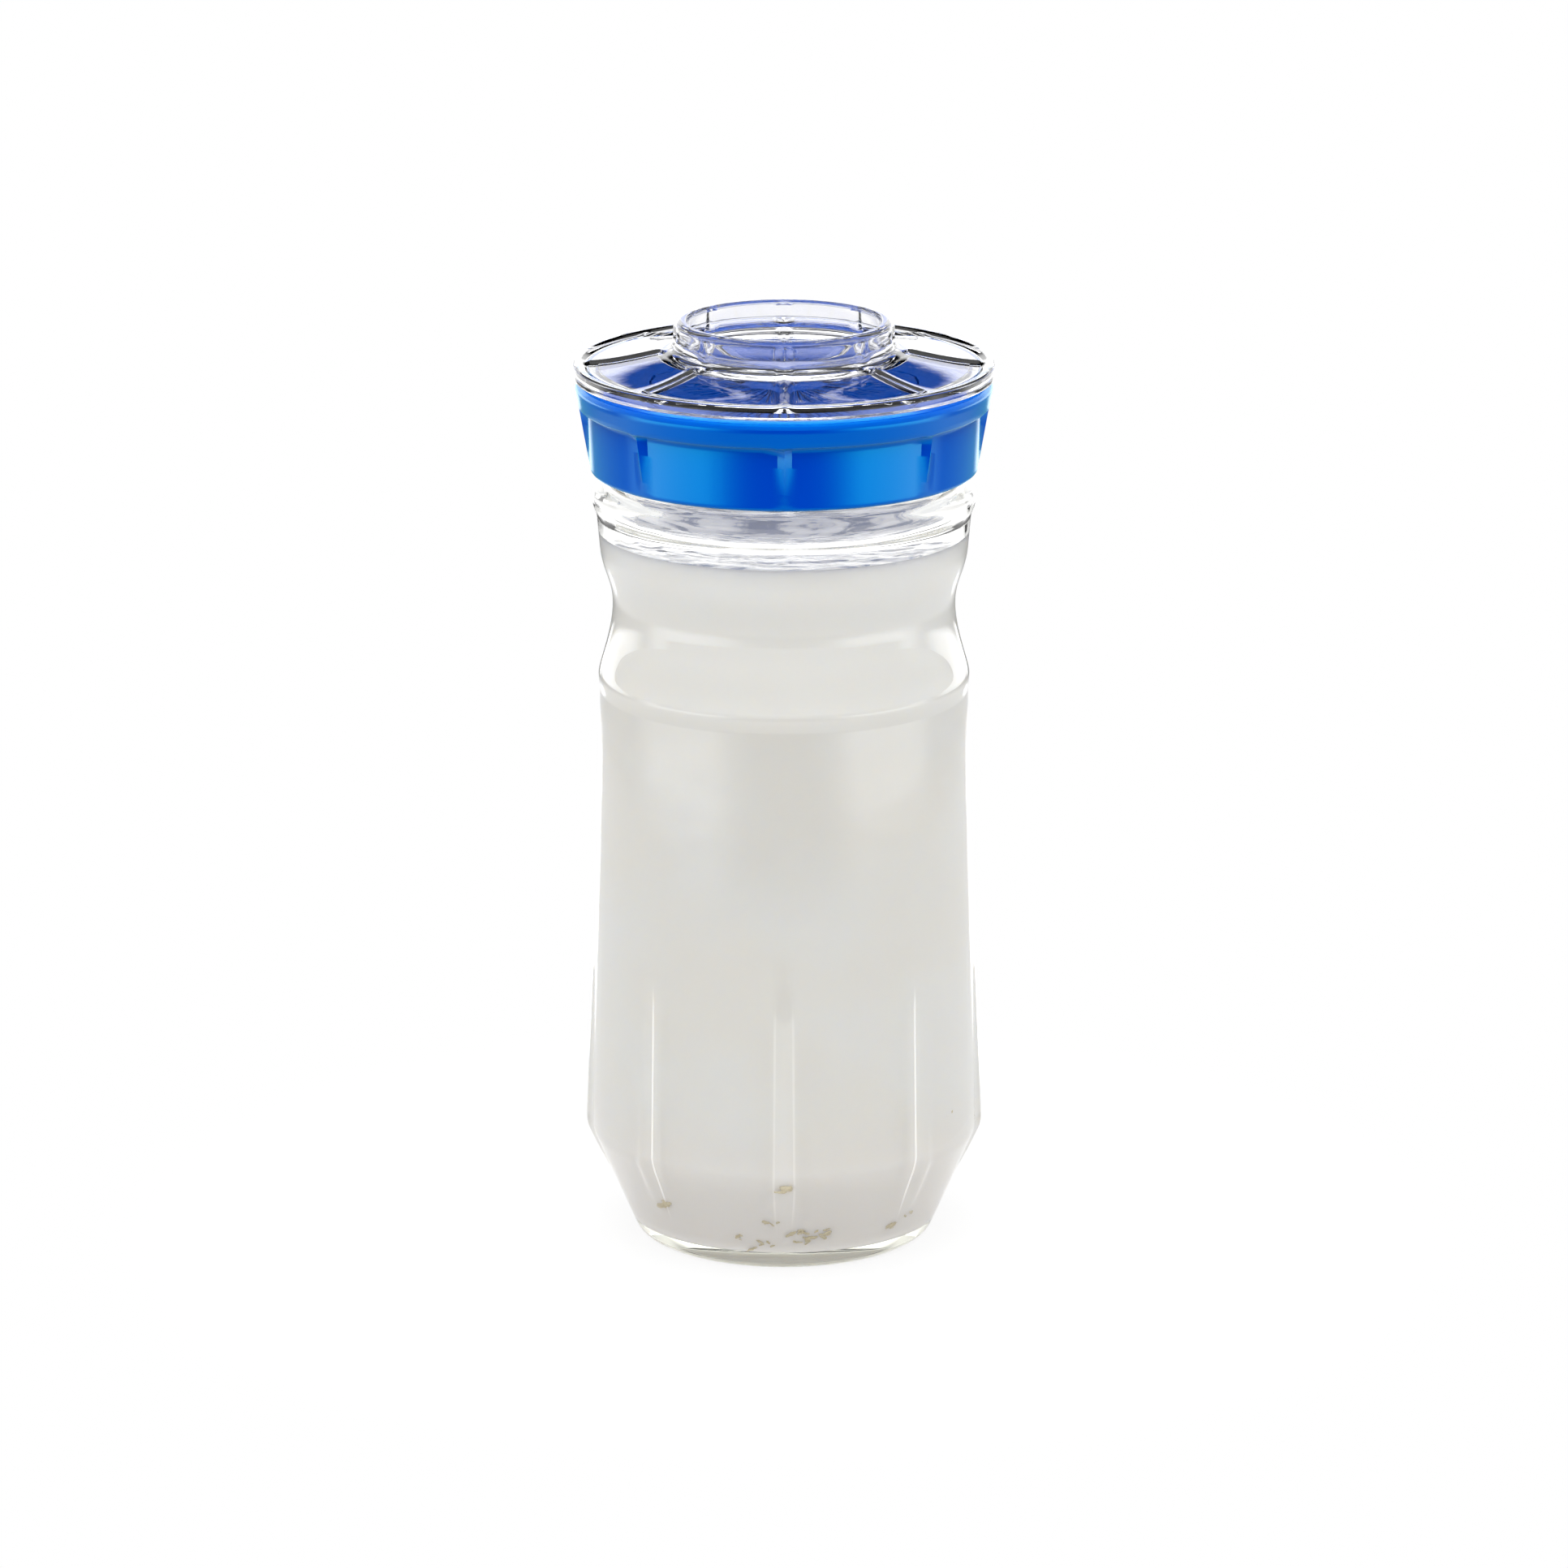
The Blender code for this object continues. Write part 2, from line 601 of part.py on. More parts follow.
def make_cover():
    """The clear cover: rim, ridged deck, collar and the cup that is a reamer underneath."""
    cup, reamer, top, under = cover_lines()
    deck_top = top[-1][1]
    collar_top = deck_top + COLLAR_HEIGHT - COLLAR_ROUND
    cup_radius = COLLAR_RADIUS - COLLAR_WALL
    rim_inner = COVER_RADIUS - COVER_RIM_WIDTH + COVER_RIM_ROUND
    collar = arc((cup_radius + COLLAR_ROUND, collar_top), COLLAR_ROUND, 180, 90, 2)
    collar += arc((COLLAR_RADIUS - COLLAR_ROUND, collar_top), COLLAR_ROUND, 90, 0, 2)
    fillet_centre = (COLLAR_RADIUS + COLLAR_FILLET, deck_top + COLLAR_FILLET)
    collar += arc(fillet_centre, COLLAR_FILLET, 180, 270, 3)
    rim_round = (COVER_RADIUS - COVER_RIM_ROUND, COVER_RIM_HEIGHT - COVER_RIM_ROUND)
    rim = [(rim_inner, COVER_RIM_HEIGHT)] + arc(rim_round, COVER_RIM_ROUND, 90, 0, 2)
    rim += [
        (COVER_RADIUS, 0.3 * COVER_RIM_ROUND),
        (COVER_RADIUS - 0.3 * COVER_RIM_ROUND, 0.0),
        (COVER_RADIUS - COVER_RIM_LAND, 0.0),
    ]
    section = cup + collar + top[:-1][::-1] + rim + under + reamer[:-1][::-1]
    cover = turned("top_cover", section)
    for helper in cover_ribs(reamer, top):
        boolean(cover, helper, "UNION")
    finish(cover, (0.96, 0.97, 0.98), 0.03, transmission=1.0, ior=1.49)
    return cover


for old in list(bpy.data.objects):
    bpy.data.objects.remove(old, do_unlink=True)
parts = bpy.data.collections.new("fermentation_jar")
cutters = bpy.data.collections.new("cutters")
for collection in (parts, cutters):
    bpy.context.scene.collection.children.link(collection)

glass_jar = make_jar()
jar_seal = make_ring(
    "jar_seal", JAR_SEAL_BORE, JAR_SEAL_RADIUS, JAR_SEAL_THICKNESS, (0.78, 0.79, 0.78), 0.5
)
lid_base = make_lid_base()
strainer = make_strainer()
cover_seal = make_ring(
    "cover_seal",
    COVER_SEAL_RADIUS - COVER_SEAL_WIDTH,
    COVER_SEAL_RADIUS,
    COVER_SEAL_THICKNESS,
    (0.78, 0.79, 0.78),
    0.5,
)
top_cover = make_cover()

# Each piece stands on the one that it is lifted with
seat(jar_seal, glass_jar, JAR_HEIGHT + SEAT_GAP)
seat(lid_base, jar_seal, JAR_SEAL_THICKNESS + SEAT_GAP)
seat(strainer, lid_base, SEAT_GAP)
seat(cover_seal, strainer, COVER_STEP_HEIGHT)
seat(top_cover, cover_seal, COVER_SEAL_THICKNESS + SEAT_GAP)
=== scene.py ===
"""Looks for the fermentation jar: the pieces' fine shapes, their materials, the contents and the studio.

Sizes are in millimetres, and so are sections, which are lists of (radius, height). Objects are in metres.
"""

import math
import random

import bpy
from mathutils import Euler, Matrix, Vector, noise


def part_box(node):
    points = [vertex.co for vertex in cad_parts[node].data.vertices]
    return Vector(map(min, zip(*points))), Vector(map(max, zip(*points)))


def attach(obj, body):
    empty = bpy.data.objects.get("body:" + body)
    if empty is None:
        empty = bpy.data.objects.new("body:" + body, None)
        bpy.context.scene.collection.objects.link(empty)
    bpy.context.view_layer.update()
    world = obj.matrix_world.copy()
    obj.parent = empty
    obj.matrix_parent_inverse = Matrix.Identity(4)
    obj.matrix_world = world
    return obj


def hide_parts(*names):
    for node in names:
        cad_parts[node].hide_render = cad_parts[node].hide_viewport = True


MM = 0.001

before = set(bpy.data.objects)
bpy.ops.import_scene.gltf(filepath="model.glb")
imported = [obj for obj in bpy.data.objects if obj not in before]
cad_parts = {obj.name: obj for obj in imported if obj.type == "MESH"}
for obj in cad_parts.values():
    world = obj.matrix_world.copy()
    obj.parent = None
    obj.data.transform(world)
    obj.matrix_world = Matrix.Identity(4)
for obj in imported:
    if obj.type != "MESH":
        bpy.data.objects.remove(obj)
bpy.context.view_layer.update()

# Where the pieces stand, read from the solids, with the gap that lies over each seal
SEAT_GAP = 0.3
JAR_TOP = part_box("glass_jar")[1].z / MM
SEAL_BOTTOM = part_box("jar_seal")[0].z / MM
SEAL_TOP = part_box("jar_seal")[1].z / MM
DECK = SEAL_TOP + SEAT_GAP
STRAINER_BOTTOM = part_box("strainer")[0].z / MM
COVER_SEAL_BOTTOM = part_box("cover_seal")[0].z / MM
COVER_SEAL_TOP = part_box("cover_seal")[1].z / MM
COVER = COVER_SEAL_TOP + SEAT_GAP

# Repeats round the axis, with the columns of an eighth: close together over a rib, wider between
EIGHTH = 45.0
RIB_SPAN = 12.0
RIB_COLUMNS = 28
OPEN_COLUMNS = 16
PLAIN_COLUMNS = 14
SLOT_COUNT = 64

# Glass jar
FOOT_INNER, FOOT_OUTER, HEEL_ROUND = 28.5, 32.4, 3.6
PUSH_UP, FLOOR_THICKNESS, GLASS_WALL = 3.0, 4.6, 3.0
HIP = (45.9, 25.6)
HIP_ROUND = 7.0
BODY_TOP = (43.2, 132.5)
RIDGE = (43.55, 136.5)
WAIST = (40.1, 153.7)
BAND = (43.0, 167.0)
BAND_TOP = (43.7, 174.8)
BEAD = (44.75, 178.9)
BEAD_TOP = (42.68, 182.1)
FINISH_LOW, FINISH_RADIUS, MOUTH_RADIUS, RIM_ROUND = 185.0, 41.3, 38.1, 1.2
JAR_RIB_LOW, JAR_RIB_HIGH, JAR_RIB_HEIGHT, JAR_RIB_WIDTH = 10.0, 71.0, 1.35, 6.0
WAVES_LOW, WAVES_HIGH, WAVE_LENGTH, WAVE_STEP, WAVE_HEIGHT = 171.0, 181.5, 6.0, 2.4, 0.35

# Screw thread, four starts, between the finish and the lid's bore
THREAD_STARTS = 4
THREAD_LEAD = 14.0
THREAD_SWEEP, THREAD_RAMP = 76.0, 8.0
THREAD_HEIGHT = 0.85
THREAD_HALF = 1.35
JAR_THREAD_START = 189.6
LID_THREAD_START = 187.6

# Contents
MILK_LEVEL, MENISCUS_HEIGHT, MENISCUS_REACH = 170.2, 0.9, 5.0
# Painted glow on the milk's top, as emission strength, and weaker on its pools
PAINTED_TOP_GLOW, PAINTED_POOL_GLOW = 0.4, 0.15
MILK_OVERLAP = 0.06
MILK_RADIUS = 43.0
# Painted caustics behind the ribs: the strength of the side line and of the two front lines, and the front
# lines' distance from a rib
PAINTED_SIDE_CAUSTIC, PAINTED_FRONT_CAUSTIC, PAINTED_FRONT_CAUSTIC_PLACE = 0.3, 0.09, 1.9
# Painted glow of the milk's neck
PAINTED_NECK_GLOW = 0.09

# Lid base, with heights from the underside of its deck
SKIRT_BOTTOM, SKIRT_BORE, SKIRT_RADIUS, SKIRT_ROUND = -17.0, 42.4, 45.2, 0.8
PANEL_FLARE = 0.7
BRIM_TOP, BRIM_RADIUS, BRIM_ROUND = 4.7, 48.6, 2.1
BRIM_LOW = BRIM_TOP - BRIM_ROUND
BAND_LOW, UNDERCUT_LOW = -1.4, -3.4
GUSSET_STEM, GUSSET_SPREAD = 2.2, 4.4
DECK_UNDER = -1.6
RECESS_RADIUS, RECESS_LEVEL = 45.6, 3.4
LAND_RADIUS, LAND_LEVEL = 43.0, 2.3
STRAINER_SEAT, LID_MOUTH, SEAL_SEAT = 31.4, 29.5, 38.6

# Strainer and seals
STRAINER_RADIUS, STRAINER_THICKNESS, HUB_TOP = 31.0, 1.5, 2.4
SLOT_LENGTH, SLOT_WIDTH, SLOT_PLACE = 15.5, 0.62, 18.2
JAR_SEAL_RADII, COVER_SEAL_RADII, SEAL_ROUND = (38.9, 42.1), (43.3, 45.3), 0.25

# Clear cover, with heights from the underside of its rim
COVER_RADIUS, RIM_HEIGHT, RIM_WIDTH, RIM_LAND = 49.1, 3.4, 3.4, 6.1
DECK_LOW, DECK_HIGH, COVER_WALL = 2.7, 5.6, 2.0
COLLAR_RADIUS, COLLAR_WALL, COLLAR_TOP, COLLAR_FILLET = 25.2, 2.6, 13.1, 3.4
REAMER_LOW, CUP_FLOOR = -1.7, 0.2
RIM_ROUND_TOP, RIM_ROUND_LOW, COLLAR_ROUND, CUP_ROUND = 0.6, 0.3, 1.6, 0.5
RIDGE_HEIGHT, RIDGE_REACH, RIDGE_FADE, RIDGE_END = 0.9, 2.8, 44.9, 47.4
COLLAR_RIB_HEIGHT, COLLAR_RIB_WIDTH = 0.5, 3.0
FLUTE_DEPTH, FLUTE_REACH, FLUTES_INNER, FLUTES_OUTER = 0.8, 2.2, 9.0, 24.0

# The room's brightness: for light that falls on a face, that glass lets through, and that gloss mirrors
SOFT_ROOM = {"front": 1.4, "front_high": 1.4, "back": 1.7, "back_high": 0.4, "top": 2.0, "walls": 0.4}
CLEAR_ROOM = {"front": 1.2, "front_high": 1.2, "back": 1.6, "back_high": 0.0, "top": 4.0, "walls": 1.0}
MIRRORED_ROOM = {"front": 0.8, "front_high": 2.0, "back": 2.0, "back_high": 0.0, "top": 1.6, "walls": 0.3}

# The mirrored floor's brightness near the jar, far at both sides, far behind, and at the white backdrop
FLOOR_NEAR, FLOOR_SIDES, FLOOR_BEHIND, FLOOR_BACKDROP = 1.0, 3.0, 0.25, 2.3


def arc(centre, radius, start, end, steps):
    """Points on a circle about centre, from start to end in degrees."""
    points = []
    for i in range(steps + 1):
        angle = math.radians(start + (end - start) * i / steps)
        points.append((centre[0] + radius * math.cos(angle), centre[1] + radius * math.sin(angle)))
    return points


def line(a, b, steps):
    """Evenly spaced points from a to b, with both ends."""
    return [tuple(a[k] + (b[k] - a[k]) * i / steps for k in (0, 1)) for i in range(steps + 1)]


def curve(a, b, c, d, steps):
    """Points on a cubic curve that leaves a towards b and reaches d from c."""
    points = []
    for i in range(steps + 1):
        t = i / steps
        s = 1 - t
        weights = (s * s * s, 3 * s * s * t, 3 * s * t * t, t * t * t)
        points.append(tuple(sum(w * p[k] for w, p in zip(weights, (a, b, c, d))) for k in (0, 1)))
    return points


def rounded(before, corner, after, radius, steps):
    """The arc that rounds a corner between two straight lines."""
    into = math.atan2(corner[1] - before[1], corner[0] - before[0])
    out = math.atan2(after[1] - corner[1], after[0] - corner[0])
    turn = (out - into + math.pi) % (2 * math.pi) - math.pi
    side = math.copysign(1, turn)
    reach = radius * math.tan(abs(turn) / 2)
    start = (corner[0] - reach * math.cos(into), corner[1] - reach * math.sin(into))
    centre = (start[0] - side * radius * math.sin(into), start[1] + side * radius * math.cos(into))
    first = math.degrees(into) - side * 90
    return arc(centre, radius, first, first + math.degrees(turn), steps)


def outline(corners):
    """A line through corners of (radius, height, rounding)."""
    points = []
    for i, (r, z, rounding) in enumerate(corners):
        if rounding:
            points += rounded(corners[i - 1], (r, z), corners[i + 1], rounding, 4)
        else:
            points.append((r, z))
    return points


def offset(points, distance):
    """The line moved sideways: to the left of its direction, or to the right when negative."""
    moved = []
    for i, (r, z) in enumerate(points):
        before = points[max(i - 1, 0)]
        after = points[min(i + 1, len(points) - 1)]
        along = (after[0] - before[0], after[1] - before[1])
        length = math.hypot(*along)
        moved.append((r - distance * along[1] / length, z + distance * along[0] / length))
    return moved


def lifted(points, height):
    """The line moved up."""
    return [(r, z + height) for r, z in points]


def smooth(low, high, value):
    """0 up to low, 1 from high, and an even S between."""
    t = min(1.0, max(0.0, (value - low) / (high - low)))
    return t * t * (3 - 2 * t)


def add_primitive(kind, name, **settings):
    """A primitive with nothing else selected, ready to be shaped."""
    bpy.ops.object.select_all(action="DESELECT")
    getattr(bpy.ops.mesh, f"primitive_{kind}_add")(**settings)
    piece = bpy.context.object
    piece.name = name
    return piece


def shade(piece, angle=35):
    """Smooth shading that keeps the edges sharper than angle."""
    bpy.ops.object.select_all(action="DESELECT")
    piece.select_set(True)
    bpy.context.view_layer.objects.active = piece
    bpy.ops.object.shade_smooth_by_angle(angle=math.radians(angle))


def apply_modifiers(piece):
    """Makes the piece's modifiers part of its mesh."""
    bpy.context.view_layer.objects.active = piece
    for modifier in list(piece.modifiers):
        bpy.ops.object.modifier_apply(modifier=modifier.name)


def lathe(name, section, ribbed=False):
    """A turned piece: a point is extruded along the section, spun through an eighth and copied round."""
    if ribbed:
        start, spans = -RIB_SPAN / 2, ((RIB_SPAN, RIB_COLUMNS), (EIGHTH - RIB_SPAN, OPEN_COLUMNS))
    else:
        start, spans = 0.0, ((EIGHTH, PLAIN_COLUMNS),)
    along = Vector((math.cos(math.radians(start)), math.sin(math.radians(start)), 0)) * MM
    up = Vector((0, 0, MM))
    points = [along * r + up * z for r, z in section]
    piece = add_primitive("plane", name, size=MM)
    bpy.ops.object.mode_set(mode="EDIT")
    bpy.ops.mesh.merge(type="CENTER")
    bpy.ops.transform.translate(value=points[0])
    for before, after in zip(points, points[1:]):
        bpy.ops.mesh.extrude_vertices_move(TRANSFORM_OT_translate={"value": after - before})
    bpy.ops.mesh.select_all(action="SELECT")
    for angle, steps in spans:
        bpy.ops.mesh.spin(steps=steps, angle=math.radians(angle), center=(0, 0, 0), axis=(0, 0, 1))
    bpy.ops.mesh.select_all(action="SELECT")
    copies = round(360 / EIGHTH)
    bpy.ops.mesh.spin(steps=copies, dupli=True, angle=math.tau, center=(0, 0, 0), axis=(0, 0, 1))
    bpy.ops.mesh.select_all(action="SELECT")
    bpy.ops.mesh.remove_doubles(threshold=0.002 * MM)
    bpy.ops.mesh.normals_make_consistent(inside=False)
    bpy.ops.object.mode_set(mode="OBJECT")
    return piece


def displace(piece, name, amount, direction="NORMAL"):
    """Moves each point by amount(point, normal) in millimetres, as weights that Displace reads."""
    amounts = [amount(vertex.co / MM, vertex.normal) for vertex in piece.data.vertices]
    most = max(map(abs, amounts))
    sign = 1 if max(amounts) == most else -1
    group = piece.vertex_groups.new(name=name)
    for index, value in enumerate(amounts):
        if sign * value > 0:
            group.add([index], abs(value) / most, "REPLACE")
    modifier = piece.modifiers.new(name, "DISPLACE")
    modifier.vertex_group = name
    modifier.direction = direction
    modifier.mid_level = 0
    modifier.strength = sign * most * MM
    apply_modifiers(piece)
    piece.vertex_groups.remove(piece.vertex_groups[name])


def from_axis(point):
    """A point's distance from the upright axis."""
    return math.hypot(point.x, point.y)


def faces_out(point, normal):
    """Whether the surface at a point looks away from the axis."""
    return normal.x * point.x + normal.y * point.y > 0


def swell(piece, amount):
    """Grabs each point and pulls it away from the axis by amount(point) in millimetres."""
    for vertex in piece.data.vertices:
        point = vertex.co / MM
        share = amount(point) / max(from_axis(point), 1.0)
        vertex.co += Vector((vertex.co.x, vertex.co.y, 0)) * share
    piece.data.update()


def beside_rib(point):
    """The sideways distance from a point to the middle of the nearest of the eight ribs."""
    angle = math.degrees(math.atan2(point.y, point.x))
    turn = (angle + EIGHTH / 2) % EIGHTH - EIGHTH / 2
    return from_axis(point) * math.sin(math.radians(turn))


def plateau(distance, width, edge):
    """1 on a rib's crest and 0 beside it, with soft edges."""
    return 1 - smooth(width / 2 - edge, width / 2 + edge, abs(distance))


def arch(distance, width, height):
    """The height of a rib whose section is a shallow arc of a circle."""
    radius = (width * width / 4 + height * height) / (2 * height)
    return max(0.0, math.sqrt(max(0.0, radius * radius - distance * distance)) - radius + height)


def thread(point, first_height):
    """The height of the four-start thread at a point of the finish or of the bore."""
    angle = math.degrees(math.atan2(point.y, point.x)) % (360 / THREAD_STARTS)
    middle = first_height + THREAD_LEAD * angle / 360
    ends = smooth(0, THREAD_RAMP, angle) * smooth(0, THREAD_RAMP, THREAD_SWEEP - angle)
    return THREAD_HEIGHT * ends * (1 - smooth(0.0, THREAD_HALF, abs(point.z - middle)))


def jar_outside():
    """The jar's outer side, from the foot up to the finish."""
    heel_centre = (FOOT_OUTER, HEEL_ROUND)
    reach = math.atan2(HIP[1] - HEEL_ROUND, HIP[0] - FOOT_OUTER)
    lean = reach - math.acos(HEEL_ROUND / math.dist(HIP, heel_centre))
    heel = arc(heel_centre, HEEL_ROUND, -90, math.degrees(lean), 8)
    hip = rounded(heel[-1], HIP, BODY_TOP, HIP_ROUND, 8)
    rib_top = line(hip[-1], BODY_TOP, 5)[2]
    points = heel[:-1] + line(heel[-1], hip[0], 8)[:-1] + hip[:-1]
    points += line(hip[-1], rib_top, 14)[:-1] + line(rib_top, BODY_TOP, 5)[:-1]
    points += curve(BODY_TOP, (43.15, 133.8), (43.55, 134.6), RIDGE, 6)[:-1]
    points += curve(RIDGE, (43.6, 138.4), (WAIST[0], 146.5), WAIST, 16)[:-1]
    points += curve(WAIST, (WAIST[0], 159.3), (42.55, 162.0), BAND, 14)[:-1]
    points += line(BAND, BAND_TOP, 3)[:-1]
    points += curve(BAND_TOP, (43.9, 176.6), (BEAD[0], 176.9), BEAD, 8)[:-1]
    points += curve(BEAD, (BEAD[0], 180.6), (43.6, 181.5), BEAD_TOP, 8)[:-1]
    points += curve(BEAD_TOP, (41.6, 182.8), (FINISH_RADIUS, 183.6), (FINISH_RADIUS, FINISH_LOW), 6)
    return points


def jar_inside():
    """The jar's inner side, from the middle of the floor up to the mouth."""
    wall = [p for p in offset(jar_outside(), GLASS_WALL) if 9.0 < p[1] < BAND_TOP[1]]
    floor_edge = (FOOT_INNER + 1.5, FLOOR_THICKNESS)
    floor_top = PUSH_UP + FLOOR_THICKNESS
    floor = curve((0.0, floor_top), (14.0, floor_top), (22.0, FLOOR_THICKNESS + 0.4), floor_edge, 8)
    corner = curve(floor_edge, (33.2, FLOOR_THICKNESS), (34.7, 6.8), wall[0], 8)
    return floor[:-1] + corner[:-1] + wall + [(MOUTH_RADIUS, BEAD_TOP[1])]


def make_jar():
    """The pressed glass jar, with its ribs and the thread of its finish."""
    foot = curve((0.0, PUSH_UP), (16.0, PUSH_UP), (25.0, 1.6), (FOOT_INNER, 0.0), 8)
    foot += line((FOOT_INNER, 0.0), (FOOT_OUTER, 0.0), 2)[1:-1]
    rim = JAR_TOP - RIM_ROUND
    finish = line((FINISH_RADIUS, FINISH_LOW), (FINISH_RADIUS, rim), 40)[1:-1]
    finish += arc((FINISH_RADIUS - RIM_ROUND, rim), RIM_ROUND, 0, 90, 5)
    finish += arc((MOUTH_RADIUS + RIM_ROUND, rim), RIM_ROUND, 90, 180, 5)
    jar = lathe("pressed_glass_jar", foot + jar_outside() + finish + jar_inside()[::-1], ribbed=True)

    def ribs(point, normal):
        below = min(1.0, max(0.0, (point.z - JAR_RIB_LOW) / (HIP[1] - JAR_RIB_LOW)))
        low_side = math.sin(math.pi / 2 * below)
        share = (point.z - HIP[1]) / (JAR_RIB_HIGH - HIP[1])
        high_side = (1 - 0.65 * share) * smooth(0, 0.16, 1 - share) if share > 0 else 1.0
        if not faces_out(point, normal) or point.z <= JAR_RIB_LOW or share > 1:
            return 0.0
        return min(low_side, high_side) * arch(beside_rib(point), JAR_RIB_WIDTH, JAR_RIB_HEIGHT)

    def jar_thread(point, normal):
        on_finish = point.z > FINISH_LOW and faces_out(point, normal)
        return thread(point, JAR_THREAD_START) if on_finish else 0.0

    # The plunger leaves the inside of the neck wavy
    def neck_waves(point, normal):
        if faces_out(point, normal) or not WAVES_LOW < point.z < WAVES_HIGH:
            return 0.0
        ends = smooth(WAVES_LOW, WAVES_LOW + 2.0, point.z) * smooth(WAVES_HIGH, WAVES_HIGH - 1.5, point.z)
        place = Vector((point.x / WAVE_LENGTH, point.y / WAVE_LENGTH, point.z / WAVE_STEP))
        return WAVE_HEIGHT * ends * (1 + noise.noise(place))

    displace(jar, "ribs", ribs)
    displace(jar, "neck_waves", neck_waves)
    displace(jar, "thread", jar_thread)
    return jar


def make_milk():
    """The milk: it fills the jar to its level and climbs a little at the glass."""
    wall = [p for p in offset(jar_inside(), -MILK_OVERLAP) if p[1] < MILK_LEVEL]
    # The sideways move leaves the first point a hair off the axis
    wall[0] = (0.0, wall[0][1])
    edge = (wall[-1][0] + 0.35, MILK_LEVEL + MENISCUS_HEIGHT)
    level = (edge[0] - MENISCUS_REACH, MILK_LEVEL)
    top = curve(edge, (edge[0] - 0.9, MILK_LEVEL + 0.2), (edge[0] - 2.2, MILK_LEVEL), level, 7)
    top += line(top[-1], (0.0, MILK_LEVEL), 24)[1:]
    milk = lathe("kefir_milk", wall + top)

    def ripples(point, normal):
        inside = 1 - smooth(edge[0] - 4, edge[0] - 1, from_axis(point))
        if point.z < MILK_LEVEL - 0.1 or normal.z < 0.5:
            return 0.0
        return inside * 0.5 * (1 + noise.fractal(point / 9, 1.0, 2.0, 3))

    displace(milk, "ripples", ripples, "Z")
    # The top's faces take the second material, which carries the painted glow
    for face in milk.data.polygons:
        face.material_index = int(face.center.z > (MILK_LEVEL - 0.3) * MM and face.normal.z > 0.3)
    return milk


def make_grains():
    """Kefir grains: lumpy curds that have sunk and lie against the glass."""
    random.seed(7)
    # Degrees from the front, height, number of grains, their size and how far they spread
    clusters = [
        (-4, 14.0, 3, 0.9, 2.2),
        (1, 23.5, 3, 0.8, 1.8),
        (9, 9.5, 16, 0.7, 4.6),
        (-16, 9.5, 3, 0.9, 2.6),
        (-43, 14.5, 2, 1.2, 1.7),
        (46, 10.0, 6, 0.8, 3.4),
        (-8, 6.2, 5, 0.7, 3.6),
        (62, 33.0, 3, 0.9, 3.0),
        (150, 9.0, 6, 1.3, 4.0),
        (205, 12.0, 5, 1.2, 4.5),
        (255, 8.0, 4, 1.1, 3.5),
        (110, 16.0, 4, 1.2, 3.5),
    ]
    wall = jar_inside()
    grains = []
    for azimuth, height, count, size, spread in clusters:
        for _ in range(count):
            z = max(5.6, height + random.uniform(-0.5, 0.5) * spread)
            radius = next(r for r, h in wall if h >= z and r > 30) - 0.35 * size
            angle = math.radians(azimuth - 90 + random.uniform(-1, 1) * math.degrees(spread / radius))
            width = size * random.uniform(0.45, 1.0)
            place = Vector((radius * math.cos(angle), radius * math.sin(angle), z)) * MM
            grain = add_primitive("ico_sphere", "grain", subdivisions=3, radius=width * MM, location=place)
            grain.scale = (0.3, random.uniform(0.8, 2.4), random.uniform(0.2, 0.5))
            grain.rotation_euler = Euler((random.uniform(-0.9, 0.9), 0, angle))
            bpy.ops.object.transform_apply(location=True, rotation=True, scale=True)
            lump = 0.7 * width
            displace(grain, "lumps", lambda point, normal: 0.5 * width * (0.6 + noise.noise(point / lump)))
            grains.append(grain)
    bpy.ops.object.select_all(action="DESELECT")
    for grain in grains:
        grain.select_set(True)
    bpy.context.view_layer.objects.active = grains[0]
    bpy.ops.object.join()
    grains[0].name = "kefir_grains"
    return grains[0]


def flare(z):
    """The radius of the lid's gussets at a height above the deck's underside."""
    share = (z - SKIRT_BOTTOM) / (BRIM_LOW - SKIRT_BOTTOM)
    return SKIRT_RADIUS + (BRIM_RADIUS - SKIRT_RADIUS) * share


